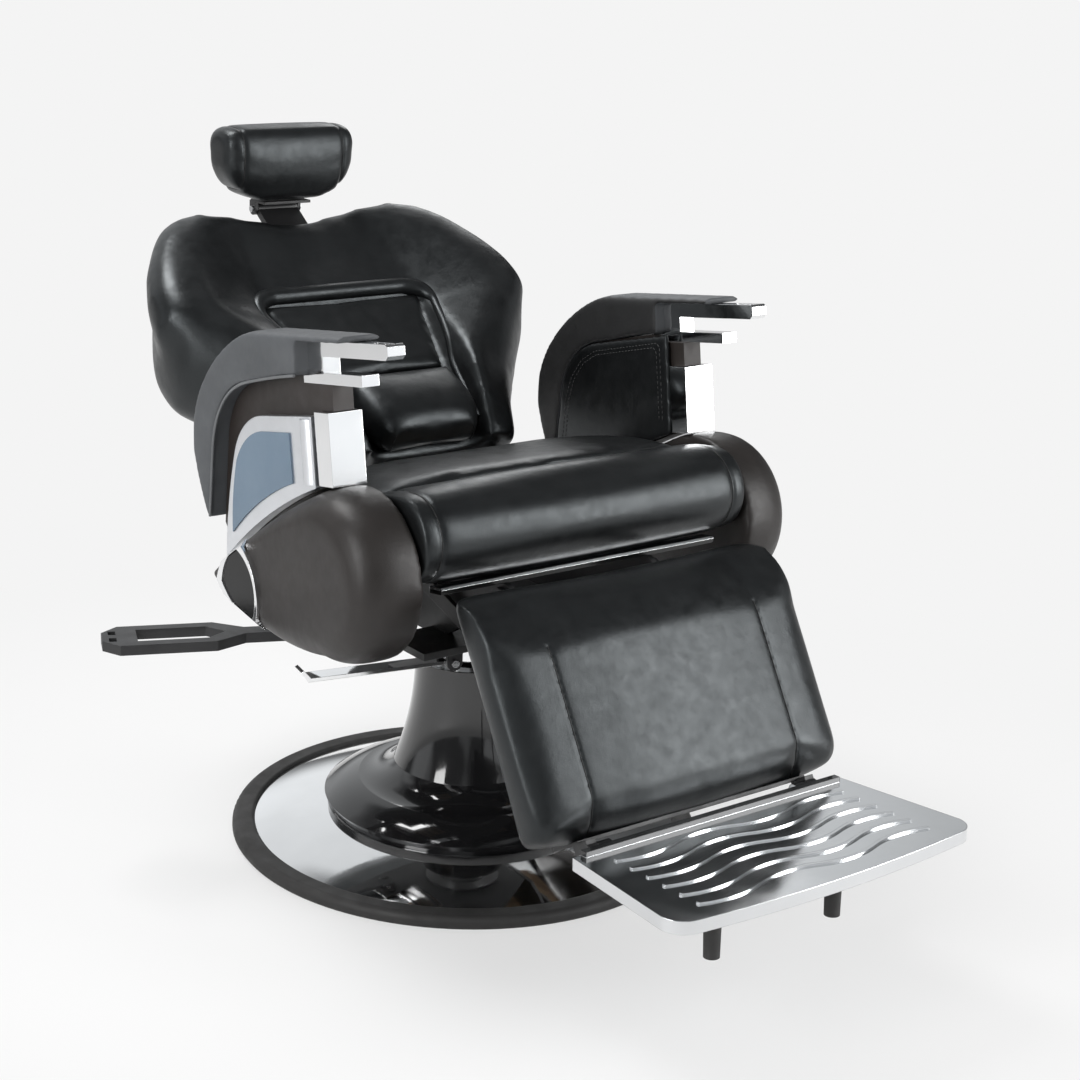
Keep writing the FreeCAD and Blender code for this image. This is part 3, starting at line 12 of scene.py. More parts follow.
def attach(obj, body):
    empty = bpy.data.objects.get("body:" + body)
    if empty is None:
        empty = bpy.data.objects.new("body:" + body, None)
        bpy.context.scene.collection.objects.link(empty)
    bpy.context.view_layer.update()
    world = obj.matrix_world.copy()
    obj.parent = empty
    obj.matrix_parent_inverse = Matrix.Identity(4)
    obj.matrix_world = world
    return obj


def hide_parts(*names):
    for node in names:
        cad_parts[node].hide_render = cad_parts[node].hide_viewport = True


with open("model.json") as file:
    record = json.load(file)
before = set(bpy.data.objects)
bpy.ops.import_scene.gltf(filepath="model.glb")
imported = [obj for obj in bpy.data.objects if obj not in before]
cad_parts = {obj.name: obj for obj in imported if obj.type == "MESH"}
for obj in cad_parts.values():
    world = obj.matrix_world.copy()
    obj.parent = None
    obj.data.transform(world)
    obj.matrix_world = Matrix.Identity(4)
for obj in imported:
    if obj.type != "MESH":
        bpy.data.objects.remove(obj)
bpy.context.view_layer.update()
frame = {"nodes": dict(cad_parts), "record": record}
nodes = frame["nodes"]
record = frame["record"]
bodyOf = {name: body for body, names in record["behaviour"]["bodies"].items() for name in names}
slotOf = {row["node"]: row["material_slot"] for row in record["subparts"]}
scene = bpy.context.scene
sides = ((-1, "Right"), (1, "Left"))  # the sitter's
millimetre = 0.001
print("frame loaded:", len(nodes), "nodes")


# Places of the seat, back, legrest, footplate and headrest, as in the drawing
# Inside them a unit is a millimetre
def swung(y, z, lean):
    turn = Matrix.Rotation(math.radians(-lean), 4, "X")
    return Matrix.Translation((0, y, z)) @ turn @ Matrix.Scale(millimetre, 4)


def heading(place, axis):
    return place.to_3x3() @ (Vector(axis) * 1000)  # of length one, outside the place's millimetres


seatFrame = swung(0, 0.540, 9)
backFrame = swung(0.094076, 0.494726, 56)
legFrame = swung(-0.235349, 0.428443, 31)
footFrame = swung(-0.506115, 0.204980, 3)
headFrame = swung(0.543356, 0.808625, 0)


# Camera at the photograph's viewpoint
viewSettings = {
    "place": (-1.6052, -2.2292, 1.2760), "right": (0.7983, -0.6009, 0.0405), "up": (0.1464, 0.2589, 0.9548),
    "behind": (-0.5842, -0.7562, 0.2947), "lens": 69.4, "sensor": 36, "farthest": 200,
}


def setCamera(view):
    camera = bpy.data.objects.new("studioCamera", bpy.data.cameras.new("studioCamera"))
    scene.collection.objects.link(camera)
    camera.data.lens = view["lens"]
    camera.data.sensor_width = view["sensor"]
    camera.data.clip_end = view["farthest"]
    turn = Matrix((view["right"], view["up"], view["behind"])).transposed().to_4x4()
    camera.matrix_world = Matrix.Translation(view["place"]) @ turn
    scene.camera = camera


setCamera(viewSettings)
print("camera set")


# Nodes, for the sky, the floor and the finishes
noiseLow, noiseHigh = 0.3, 0.7  # nearly all of a noise lies between these


def add(owner, kind, values=None, **links):
    node = owner.node_tree.nodes.new("ShaderNode" + kind)
    for name, value in (values or {}).items():
        if name in node.inputs:
            node.inputs[name].default_value = value
        else:
            setattr(node, name, value)
    for name, socket in links.items():
        owner.node_tree.links.new(socket, node.inputs[name.replace("_", " ")])
    return node


def wire(owner, node, *sources):
    for index, source in enumerate(sources):
        if isinstance(source, bpy.types.NodeSocket):
            owner.node_tree.links.new(source, node.inputs[index])
        else:
            node.inputs[index].default_value = source
    return node.outputs


def calc(owner, operation, *sources):
    return wire(owner, add(owner, "Math", {"operation": operation}), *sources)[0]


def measure(owner, operation, *sources):
    return wire(owner, add(owner, "VectorMath", {"operation": operation}), *sources)["Value"]


def spread(owner, value, low, high, fromLow=noiseLow, fromHigh=noiseHigh, kind="LINEAR"):
    limits = {"From Min": fromLow, "From Max": fromHigh, "To Min": low, "To Max": high}
    return add(owner, "MapRange", {"interpolation_type": kind, **limits}, Value=value).outputs["Result"]


def eased(owner, value, fromLow, fromHigh, low, high):
    return spread(owner, value, low, high, fromLow, fromHigh, "SMOOTHSTEP")


def mixed(owner, share, first, second):
    return wire(owner, add(owner, "MixShader"), share, first, second)[0]


def newFinish(name, colour, roughness, metallic=0.0, **more):
    finish = bpy.data.materials.new(name)
    finish.use_nodes = True
    shader = shaderOf(finish)
    shader.inputs["Base Color"].default_value = (*colour, 1)
    shader.inputs["Roughness"].default_value = roughness
    shader.inputs["Metallic"].default_value = metallic
    for socket, value in more.items():
        shader.inputs[socket.replace("_", " ")].default_value = value
    return finish


def shaderOf(finish):
    return finish.node_tree.nodes["Principled BSDF"]


# Studio: pale floor, soft boxes and an even sky; a range is from, to, first level, last level
studioSettings = {
    "sky": (1, 1, 1, 1), "skyStrength": 0.4, "paper": (0.905, 0.905, 0.905, 1),
    "mirrored": (0.885, 0.907, 0.925, 1), "overhead": (0.22, 0.75, 1.0, 0.8), "left": (0.55, 0.85, 1.0, 0.35),
    "drapeScale": 1.7, "drapeDetail": 1.0, "drapes": (0.42, 0.56, 0.16, 1.0),
    "windowAt": (0.60, -0.78, 0.12), "window": (0.80, 0.95, 0.0, 1.15),
    "floorHalf": 60, "floorColour": (0.86, 0.86, 0.86), "floorRoughness": 0.7, "floorShine": 0.2,
    "floorGlow": (0.35, 1.3, 0.55, 1.0), "floorMirrored": 0.4, "aim": (0, 0, 0.5),
    "boxes": (  # name, place, width, height, power
        ("keyBox", (-2.8, -0.7, 1.55), 0.9, 1.8, 50), ("fillBox", (2.2, -2.7, 1.4), 1.2, 2.4, 80),
        ("rimBox", (1.9, 2.2, 2.2), 1.1, 1.1, 10), ("topBox", (-0.6, 1.2, 3.0), 1.2, 1.2, 58),
    ),
}


def setSky(studio):
    world = bpy.data.worlds.new("studioSky")
    scene.world = world
    world.use_nodes = True
    sky = world.node_tree.nodes["Background"]
    sky.inputs["Color"].default_value = studio["sky"]
    sky.inputs["Strength"].default_value = studio["skyStrength"]
    paper = add(world, "Background", {"Color": studio["paper"]})
    way = add(world, "TexCoord").outputs["Generated"]
    axes = add(world, "SeparateXYZ", Vector=way).outputs
    # Reflections show a pale room, dimmer overhead and on the sitter's left
    # It has dim drapes, and a window in front
    level = eased(world, axes["Z"], *studio["overhead"])
    noise = add(world, "TexNoise", {"Scale": studio["drapeScale"], "Detail": studio["drapeDetail"]}, Vector=way)
    level = calc(world, "MULTIPLY", level, eased(world, noise.outputs["Fac"], *studio["drapes"]))
    level = calc(world, "MULTIPLY", level, eased(world, axes["X"], *studio["left"]))
    toward = measure(world, "DOT_PRODUCT", way, Vector(studio["windowAt"]).normalized())
    level = calc(world, "MAXIMUM", level, eased(world, toward, *studio["window"]))
    room = add(world, "Background", {"Color": studio["mirrored"]}, Strength=level)
    rays = add(world, "LightPath").outputs
    mirrored = calc(world, "MAXIMUM", rays["Is Glossy Ray"], rays["Is Transmission Ray"])
    around = mixed(world, mirrored, sky.outputs[0], room.outputs[0])
    whole = mixed(world, rays["Is Camera Ray"], around, paper.outputs[0])
    world.node_tree.links.new(whole, world.node_tree.nodes["World Output"].inputs["Surface"])


def setFloor(studio):
    half = studio["floorHalf"]
    mesh = bpy.data.meshes.new("studioFloor")
    corners = [(-half, -half, 0), (half, -half, 0), (half, half, 0), (-half, half, 0)]
    mesh.from_pydata(corners, [], [(0, 1, 2, 3)])
    floor = bpy.data.objects.new("studioFloor", mesh)
    scene.collection.objects.link(floor)
    paint = newFinish("studioFloor", studio["floorColour"], studio["floorRoughness"],
                      Specular_IOR_Level=studio["floorShine"])
    glow = add(paint, "Emission", {"Color": studio["paper"]})
    rays = add(paint, "LightPath").outputs
    far = measure(paint, "LENGTH", add(paint, "NewGeometry").outputs["Position"])
    faint = calc(paint, "MULTIPLY", rays["Is Glossy Ray"], studio["floorMirrored"])
    seen = calc(paint, "MAXIMUM", rays["Is Camera Ray"], faint)
    share = calc(paint, "MULTIPLY", eased(paint, far, *studio["floorGlow"]), seen)
    whole = mixed(paint, share, shaderOf(paint).outputs[0], glow.outputs[0])
    paint.node_tree.links.new(whole, paint.node_tree.nodes["Material Output"].inputs["Surface"])
    mesh.materials.append(paint)


def setLamps(studio):
    for name, place, width, height, power in studio["boxes"]:
        lamp = bpy.data.lights.new(name, "AREA")
        lamp.shape = "RECTANGLE"
        lamp.size = width
        lamp.size_y = height
        lamp.energy = power
        box = bpy.data.objects.new(name, lamp)
        scene.collection.objects.link(box)
        box.location = place
        toward = Vector(studio["aim"]) - Vector(place)
        box.rotation_euler = toward.to_track_quat("-Z", "Y").to_euler()


setSky(studioSettings)
setFloor(studioSettings)
setLamps(studioSettings)
scene.view_settings.view_transform = "Standard"
print("studio set")


# Finishes
def join(finish, socket, name):
    finish.node_tree.links.new(socket, shaderOf(finish).inputs[name])


def surface(finish):
    return add(finish, "TexCoord").outputs["Object"]


def spot(finish, scale, detail, stretch=(1, 1, 1)):
    fit = add(finish, "Mapping", {"Scale": stretch}, Vector=surface(finish))
    return add(finish, "TexNoise", {"Scale": scale, "Detail": detail}, Vector=fit.outputs[0]).outputs["Fac"]


def tint(finish, value, dark, light):
    ramp = add(finish, "ValToRGB", Fac=value)
    ends = ramp.color_ramp.elements
    ends[0].position = noiseLow
    ends[1].position = noiseHigh
    ends[0].color = (*dark, 1)
    ends[1].color = (*light, 1)
    return ramp.outputs["Color"]


def recolour(finish, share, colour):
    blend = add(finish, "Mix", {"data_type": "RGBA"}, Factor=share)
    finish.node_tree.links.new(shaderOf(finish).inputs["Base Color"].links[0].from_socket, blend.inputs[6])
    blend.inputs[7].default_value = (*colour, 1)
    join(finish, blend.outputs[2], "Base Color")


def relief(finish, height, strength, distance, under=None):
    node = add(finish, "Bump", {"Strength": strength, "Distance": distance}, Height=height)
    if under is not None:
        finish.node_tree.links.new(under, node.inputs["Normal"])
    return node.outputs["Normal"]


def softEdge(finish, radius):
    return add(finish, "Bevel", {"samples": 6, "Radius": radius}).outputs["Normal"]


leatherLook = {
    "tone": (14, 5), "blotch": (55, 6), "crease": (95, 4), "creaseStrength": 0.14, "creaseDepth": 0.0016,
    "pebbleEdge": 0.35, "pebbleStrength": 0.16,
}


def leather(name, dark, light, roughness, grain, depth, mottle, **more):
    look = leatherLook
    finish = newFinish(name, light, roughness, **more)
    join(finish, tint(finish, spot(finish, *look["tone"]), dark, light), "Base Color")
    blotch = spot(finish, *look["blotch"])
    join(finish, spread(finish, blotch, roughness - mottle / 2, roughness + mottle / 2), "Roughness")
    cells = add(finish, "TexVoronoi", {"Scale": grain, "feature": "DISTANCE_TO_EDGE"}, Vector=surface(finish))
    pebbles = spread(finish, cells.outputs["Distance"], 0, 1, 0.0, look["pebbleEdge"])
    creases = relief(finish, spot(finish, *look["crease"]), look["creaseStrength"], look["creaseDepth"])
    join(finish, relief(finish, pebbles, look["pebbleStrength"], depth, creases), "Normal")
    return finish


metalLook = {
    "polishDetail": 5, "shade": 0.93, "shadeSize": 3, "shadeDetail": 3, "fineness": 8, "fineDetail": 2,
    "fineStrength": 0.04, "fineDepth": 0.0003,
}


def metal(name, colour, low, high, edge=0.0008, scale=30, stretch=(1, 1, 1)):
    look = metalLook
    finish = newFinish(name, colour, (low + high) / 2, 1.0)
    join(finish, spread(finish, spot(finish, scale, look["polishDetail"], stretch), low, high), "Roughness")
    shaded = [channel * look["shade"] for channel in colour]
    cloud = spot(finish, scale / look["shadeSize"], look["shadeDetail"])
    join(finish, tint(finish, cloud, shaded, colour), "Base Color")
    fine = spot(finish, scale * look["fineness"], look["fineDetail"], stretch)
    rounded = softEdge(finish, edge)
    join(finish, relief(finish, fine, look["fineStrength"], look["fineDepth"], rounded), "Normal")
    return finish


mouldedLook = {"tone": (9, 4), "polish": (40, 5), "grainDetail": 2, "grainStrength": 0.25, "wear": (0.8, 0.985)}


def moulded(name, dark, light, low, high, edge=0.0012, grain=900, depth=0.0002, worn=None, **more):
    look = mouldedLook
    finish = newFinish(name, light, (low + high) / 2, **more)
    join(finish, tint(finish, spot(finish, *look["tone"]), dark, light), "Base Color")
    rounded = softEdge(finish, edge)
    if worn:
        straight = measure(finish, "DOT_PRODUCT", rounded, add(finish, "NewGeometry").outputs["Normal"])
        recolour(finish, spread(finish, straight, 1, 0, *look["wear"]), worn)
    join(finish, spread(finish, spot(finish, *look["polish"]), low, high), "Roughness")
    pores = spot(finish, grain, look["grainDetail"])
    join(finish, relief(finish, pores, look["grainStrength"], depth, rounded), "Normal")
    return finish


plyLook = {
    "plain": (0.2, 0.14, 0.08), "roughness": 0.6, "dark": (0.14, 0.09, 0.05), "light": (0.24, 0.165, 0.10),
    "rings": {"Scale": 7, "Distortion": 6, "Detail": 3, "Detail Scale": 2}, "polish": (90, 4), "low": 0.5,
    "high": 0.7, "strength": 0.1, "depth": 0.0004,
}


def plywood(name):
    look = plyLook
    finish = newFinish(name, look["plain"], look["roughness"])
    rings = add(finish, "TexWave", look["rings"], Vector=surface(finish)).outputs["Fac"]
    join(finish, tint(finish, rings, look["dark"], look["light"]), "Base Color")
    join(finish, spread(finish, spot(finish, *look["polish"]), look["low"], look["high"]), "Roughness")
    join(finish, relief(finish, rings, look["strength"], look["depth"]), "Normal")
    return finish


finishes = {
    "leather_black": leather(
        "blackLeather", (0.0045, 0.0048, 0.0052), (0.0085, 0.009, 0.0095), roughness=0.34, grain=620,
        depth=0.0003, mottle=0.12, Specular_IOR_Level=0.42, Specular_Tint=(0.90, 0.97, 1.0, 1)),
    "pod_grey": leather(
        "podVinyl", (0.0165, 0.0142, 0.0132), (0.024, 0.0208, 0.0194), roughness=0.42, grain=700, depth=0.0003,
        mottle=0.1, Specular_IOR_Level=0.34),
    "pad_grey": leather(
        "padSkin", (0.058, 0.062, 0.067), (0.076, 0.081, 0.087), roughness=0.6, grain=800, depth=0.0003,
        mottle=0.12),
    "core_brown": moulded("coreBrown", (0.016, 0.012, 0.010), (0.024, 0.018, 0.016), low=0.45, high=0.6),
    "chrome": metal("brightChrome", (0.88, 0.885, 0.89), low=0.03, high=0.09),
    "satin_silver": metal(
        "satinSilver", (0.76, 0.775, 0.80), low=0.30, high=0.42, edge=0.0015, scale=60, stretch=(1, 1, 5)),
    "inset_blue": moulded(
        "insetBlue", (0.115, 0.165, 0.222), (0.13, 0.185, 0.245), low=0.38, high=0.5, edge=0.0008),
    "plate_aluminium": metal(
        "polishedCasting", (0.72, 0.73, 0.74), low=0.09, high=0.17, edge=0.0012, scale=24),
    "gloss_black": moulded(
        "glossBlack", (0.006, 0.006, 0.0065), (0.009, 0.009, 0.0095), low=0.06, high=0.12, edge=0.0015,
        grain=300, depth=0.00003, Coat_Weight=0.6, Coat_Roughness=0.04),
    "rubber_black": moulded(
        "edgeRubber", (0.018, 0.0175, 0.017), (0.027, 0.026, 0.0255), low=0.55, high=0.75, edge=0.002,
        grain=700, depth=0.0003),
    "lever_black": moulded(
        "leverBlack", (0.012, 0.012, 0.013), (0.02, 0.02, 0.021), low=0.4, high=0.55, edge=0.002, grain=1200,
        depth=0.0002, worn=(0.045, 0.045, 0.047)),
    "frame_black": moulded(
        "framePaint", (0.012, 0.012, 0.0125), (0.02, 0.02, 0.021), low=0.38, high=0.5, edge=0.0012, grain=500,
        depth=0.00015, worn=(0.05, 0.05, 0.05)),
    "steel": metal(
        "turnedSteel", (0.56, 0.57, 0.58), low=0.22, high=0.36, edge=0.0006, scale=50, stretch=(1, 1, 12)),
    "board_wood": plywood("boardPly"),
}
for nodeName, node in nodes.items():
    node.data.materials.clear()
    node.data.materials.append(finishes[slotOf[nodeName]])


# Painted reflection: the footplate's rear lip is made non-metal and painted dark, standing in for the black
# legrest it mirrors
lipReflectionLook = {"front": -34, "above": 8.4, "blend": 0.0003, "colour": (0.012, 0.012, 0.0125)}


def paintLipReflection(finish, place, look):
    where = surface(finish)
    past = []
    for axis, start in (((0, 1, 0), look["front"]), ((0, 0, 1), look["above"])):
        along = heading(place, axis)
        level = place.translation.dot(along) + start * millimetre
        far = measure(finish, "DOT_PRODUCT", where, along)
        past.append(spread(finish, far, 0, 1, level - look["blend"], level + look["blend"]))
    # painted reflection: over the lip the plate loses its metal and takes a dark colour in place of the
    # legrest's mirrored image
    lipReflection = calc(finish, "MULTIPLY", *past)
    join(finish, spread(finish, lipReflection, 1, 0, 0, 1), "Metallic")
    recolour(finish, lipReflection, look["colour"])


paintLipReflection(finishes["plate_aluminium"], footFrame, lipReflectionLook)

# The sitter's side of the pads is black
innerLook = {"from": -0.75, "to": -0.4, "colour": (0.011, 0.011, 0.0115)}


def innerFaces(finish, look):
    place = add(finish, "SeparateXYZ", Vector=surface(finish)).outputs["X"]
    facing = add(finish, "SeparateXYZ", Vector=add(finish, "NewGeometry").outputs["Normal"]).outputs["X"]
    inward = calc(finish, "MULTIPLY", calc(finish, "SIGN", place), facing)
    recolour(finish, spread(finish, inward, 1, 0, look["from"], look["to"]), look["colour"])


innerFaces(finishes["pad_grey"], innerLook)

# The strip under the roll is a bright bead on a black carrier
beadLook = {
    "colour": (0.62, 0.63, 0.64), "low": 0.12, "high": 0.22, "carrier": (0.006, 0.006, 0.006), "deep": 0.0035,
    "sharp": 0.8,
}


def beadFinish(name, node, look):
    up = heading(seatFrame, (0, 0, 1))
    stripTop = max((seatFrame.inverted() @ v.co).z for v in node.data.vertices)
    top = (seatFrame @ Vector((0, 0, stripTop))).dot(up)
    finish = metal(name, look["colour"], look["low"], look["high"])
    height = measure(finish, "DOT_PRODUCT", surface(finish), up)
    bead = spread(finish, height, 0, 1, top - look["deep"], top - look["deep"] * look["sharp"])
    join(finish, bead, "Metallic")
    join(finish, tint(finish, bead, look["carrier"], look["colour"]), "Base Color")
    return finish


nodes["trim_strip"].data.materials[0] = beadFinish("trimBead", nodes["trim_strip"], beadLook)
nodes["badge_plates"].data.materials[0] = moulded(
    "badgeBlack", (0.004, 0.004, 0.0042), (0.006, 0.006, 0.0063), low=0.16, high=0.24, edge=0.001, grain=300,
    depth=0.00003, Specular_IOR_Level=0.2)
print("finishes:", len(finishes))


# Padding: the drawing's solid, evened out, drawn in a little, blown up as cloth, and held near its old skin
clothSettings = {"steps": 20, "quality": 4, "mass": 0.3, "stretch": 25, "shear": 10, "bend": 6}
weldWithin = 1e-5


def readPoints(mesh):
    points = np.empty(len(mesh.vertices) * 3, np.float32)
    mesh.vertices.foreach_get("co", points)
    return points.reshape(-1, 3).astype(float)


def readNormals(mesh):
    normals = np.empty(len(mesh.vertices) * 3, np.float32)
    mesh.vertex_normals.foreach_get("vector", normals)
    return normals.reshape(-1, 3).astype(float)


def writePoints(mesh, points):
    mesh.vertices.foreach_set("co", points.astype(np.float32).ravel())
    mesh.update()


def applied(piece):
    layer = bpy.context.evaluated_depsgraph_get()
    layer.update()
    old = piece.data
    piece.data = bpy.data.meshes.new_from_object(piece.evaluated_get(layer))
    piece.modifiers.clear()
    bpy.data.meshes.remove(old)


def evenOut(piece, rounds, group=""):
    smooth = piece.modifiers.new("evenOut", "SMOOTH")
    smooth.iterations = rounds
    smooth.factor = 0.5
    smooth.vertex_group = group
    applied(piece)


def evenFace(piece, place, share, rounds):
    turn = np.array(place.inverted())
    local = readPoints(piece.data) @ turn[:3, :3].T + turn[:3, 3]
    facing = readNormals(piece.data) @ turn[:3, :3].T * millimetre
    group = piece.vertex_groups.new(name="face")
    for index, weight in enumerate(share(local, facing)):
        if weight > 0:
            group.add([index], float(weight), "REPLACE")
    evenOut(piece, rounds, "face")


def blowUp(piece, cap, pressure):
    start = readPoints(piece.data)
    cloth = piece.modifiers.new("padding", "CLOTH")
    stuff = cloth.settings
    stuff.quality = clothSettings["quality"]
    stuff.mass = clothSettings["mass"]
    stuff.tension_stiffness = clothSettings["stretch"]
    stuff.compression_stiffness = clothSettings["stretch"]
    stuff.shear_stiffness = clothSettings["shear"]
    stuff.bending_stiffness = clothSettings["bend"]
    stuff.use_pressure = True
    stuff.uniform_pressure_force = pressure
    stuff.effector_weights.gravity = 0
    cloth.collision_settings.use_collision = False
    cloth.collision_settings.use_self_collision = False
    cloth.point_cache.frame_start = 1
    cloth.point_cache.frame_end = clothSettings["steps"]
    for step in range(1, clothSettings["steps"] + 1):
        scene.frame_set(step)
    layer = bpy.context.evaluated_depsgraph_get()
    end = readPoints(piece.evaluated_get(layer).data)
    piece.modifiers.clear()
    scene.frame_set(1)
    move = end - start
    length = np.linalg.norm(move, axis=1, keepdims=True)
    writePoints(piece.data, start + move * np.minimum(1, cap / np.maximum(length, 1e-9)))


def holdNear(piece, skin, proud):
    points = readPoints(piece.data)
    for index, point in enumerate(points):
        place, normal, _, far = skin.find_nearest(Vector(point))
        if far > proud and (Vector(point) - place).dot(normal) > 0:
            points[index] = place + (Vector(point) - place).normalized() * proud
    writePoints(piece.data, points)


def newPiece(pieceName, data):
    piece = bpy.data.objects.new(pieceName, data)
    scene.collection.objects.link(piece)
    return piece


def carry(piece, body, finish):
    piece.data.materials.clear()
    piece.data.materials.append(finish)
    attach(piece, body)
    return piece


def filledOut(nodeName):
    shell = bmesh.new()
    shell.from_mesh(nodes[nodeName].data)
    hull = bmesh.ops.convex_hull(shell, input=shell.verts)
    spare = [item for item in hull["geom_interior"] if isinstance(item, bmesh.types.BMVert)]
    bmesh.ops.delete(shell, geom=spare, context="VERTS")
    kept = set(hull["geom"])
    bmesh.ops.delete(shell, geom=[face for face in shell.faces if face not in kept], context="FACES_ONLY")
    mesh = bpy.data.meshes.new(nodeName + "Filled")
    shell.to_mesh(mesh)
    shell.free()
    return mesh


def padNode(nodeName, pieceName, pad, *others):
    begun = time.time()
    solid = bmesh.new()
    solid.from_mesh(nodes[nodeName].data)
    for name in others:
        solid.from_mesh(filledOut(name))  # a hollow cover is padded out behind the cushion
    bmesh.ops.remove_doubles(solid, verts=solid.verts, dist=weldWithin)
    bmesh.ops.recalc_face_normals(solid, faces=solid.faces)
    skin = BVHTree.FromBMesh(solid)
    mesh = bpy.data.meshes.new(pieceName)
    solid.to_mesh(mesh)
    solid.free()
    piece = newPiece(pieceName, mesh)
    remesh = piece.modifiers.new("evenMesh", "REMESH")
    remesh.mode = "VOXEL"
    remesh.voxel_size = pad["voxel"] * millimetre
    applied(piece)
    evenOut(piece, pad["relax"])
    if pad.get("pressure"):
        inward = readNormals(piece.data) * pad["shrink"] * millimetre
        writePoints(piece.data, readPoints(piece.data) - inward)
        blowUp(piece, pad["cap"] * millimetre, pad["pressure"])
    holdNear(piece, skin, pad["proud"] * millimetre)
    evenOut(piece, pad["settle"])
    finer = piece.modifiers.new("finer", "SUBSURF")
    finer.levels = 1
    finer.render_levels = 1
    applied(piece)
    piece.data.shade_smooth()
    carry(piece, bodyOf[nodeName], finishes[slotOf[nodeName]])
    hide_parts(nodeName, *others)
    print("padded", pieceName, len(piece.data.vertices), "points,", round(time.time() - begun, 1), "s")
    return piece


# Sewing: a line is drawn in with a soft groove, then threads, piping and stitches lie on the skin
threadFinish = moulded("seamThread", (0.004, 0.004, 0.004), (0.007, 0.007, 0.007), low=0.5, high=0.65)
stitchFinish = moulded("greyThread", (0.05, 0.05, 0.05), (0.08, 0.08, 0.08), low=0.5, high=0.65)
pipingFinish = leather("greyPiping", (0.10, 0.105, 0.11), (0.13, 0.135, 0.14), roughness=0.42, grain=800,
                       depth=0.0002, mottle=0.1)
threadRise = 0.2  # how far a thread's middle stands off the skin


def sinkLine(piece, place, away, depth, width):
    points = readPoints(piece.data)
    turn = np.array(place.inverted())
    local = points @ turn[:3, :3].T + turn[:3, 3]
    sink = depth * millimetre * np.exp(-(away(local) / width) ** 2)
    writePoints(piece.data, points - readNormals(piece.data) * sink[:, None])


def onSkin(piece, place, rays, rise=threadRise):
    corners = [vertex.co for vertex in piece.data.vertices]
    tree = BVHTree.FromPolygons(corners, [face.vertices for face in piece.data.polygons])
    found = []
    for start, way in rays:
        along = (place.to_3x3() @ Vector(way)).normalized()
        spotted, normal, _, _ = tree.ray_cast(place @ Vector(start), along)
        if spotted is not None:
            found.append(spotted + normal * rise * millimetre)
    return found


def between(corners, step):
    path = []
    for first, last in zip(corners[:-1], corners[1:]):
        first, last = Vector(first), Vector(last)
        count = max(int((last - first).length / step), 1)
        path += [first.lerp(last, index / count) for index in range(count)]
    return path + [Vector(corners[-1])]


def aimed(corners, step, way):
    return [(start, way) for start in between(corners, step)]


def ringRays(x, ring):
    rays = []
    for step in range(*ring["degrees"]):
        y, z = math.cos(math.radians(step)), math.sin(math.radians(step))
        start = (x, ring["centre"][0] + ring["reach"] * y, ring["centre"][1] + ring["reach"] * z)
        rays.append((start, (0, -y, -z)))
    return rays


def tube(pieceName, points, radius, body, finish, closed=False, swell=None):
    curve = bpy.data.curves.new(pieceName, "CURVE")
    curve.dimensions = "3D"
    curve.bevel_depth = radius * millimetre
    curve.bevel_resolution = 3
    spline = curve.splines.new("NURBS")
    spline.points.add(len(points) - 1)
    for index, (point, place) in enumerate(zip(spline.points, points)):
        point.co = (*place, 1)
        point.radius = swell[index] if swell else 1
    spline.order_u = 4
    spline.use_endpoint_u = not closed
    spline.use_cyclic_u = closed
    curve.use_fill_caps = not closed
    return carry(newPiece(pieceName, curve), body, finish)


def stitch(pieceName, found, run, gap, radius, body, finish):
    mesh = bmesh.new()
    travelled = 0.0
    begin = None
    for point, after in zip(found[:-1], found[1:]):
        if begin is None:
            begin = point
        travelled += (after - point).length * 1000
        if travelled < run:
            continue
        if travelled < run + gap and (after - begin).length > 1e-6:
            along = after - begin
            turn = along.to_track_quat("Z", "Y").to_matrix().to_4x4()
            place = Matrix.Translation((begin + after) / 2) @ turn
            size = Matrix.Diagonal((radius, radius, along.length * 500, 1))  # half as long, in millimetres
            bmesh.ops.create_uvsphere(mesh, u_segments=6, v_segments=4, radius=millimetre, matrix=place @ size)
            travelled = run + gap
        elif travelled >= run + 2 * gap:
            travelled = 0.0
            begin = None
    data = bpy.data.meshes.new(pieceName)
    mesh.to_mesh(data)
    mesh.free()
    data.shade_smooth()
    return carry(newPiece(pieceName, data), body, finish)


# Seat
seatPad = {
    "voxel": 6, "relax": 6, "shrink": 2, "pressure": 2, "cap": 8, "proud": 3, "settle": 12, "fill": 0.7,
}
padNode("seat_cushion", "seatCushion", seatPad)

rollPad = {
    "voxel": 5, "relax": 5, "shrink": 3, "pressure": 3, "cap": 12, "proud": 3, "settle": 6, "fill": 0.8,
    "bandAt": 235, "bandDepth": 2.0, "bandWidth": 3.6, "thread": 0.8,
    "ring": {"centre": (-203, -52), "reach": 140, "degrees": (280, 79, -8)},
}
frontRoll = padNode("front_roll", "frontRoll", rollPad)
sinkLine(frontRoll, seatFrame, lambda p: np.abs(p[:, 0]) - rollPad["bandAt"], rollPad["bandDepth"],
         rollPad["bandWidth"])
for side, name in sides:
    found = onSkin(frontRoll, seatFrame, ringRays(side * rollPad["bandAt"], rollPad["ring"]))
    tube("rollSeam" + name, found, rollPad["thread"], "seat", threadFinish)
print("seat and roll sewn")


# Legrest
legPad = {
    "voxel": 5.5, "relax": 6, "shrink": 2, "pressure": 1.8, "cap": 6, "proud": 3, "settle": 16, "fill": 0.7,
    "seamAt": 166, "seamTop": -84, "seamFoot": -318, "seamDepth": 1.2, "seamWidth": 2.6, "thread": 0.7,
    "faceAt": -90, "rayFrom": -300, "step": 8,
}
legrestCushion = padNode("legrest_cushion", "legrestCushion", legPad)


def awayFromLegSeam(p):
    past = np.maximum(p[:, 2] - legPad["seamTop"], 0) + np.maximum(p[:, 1] - legPad["faceAt"], 0)
    return np.hypot(np.abs(p[:, 0]) - legPad["seamAt"], past)  # only on the front face


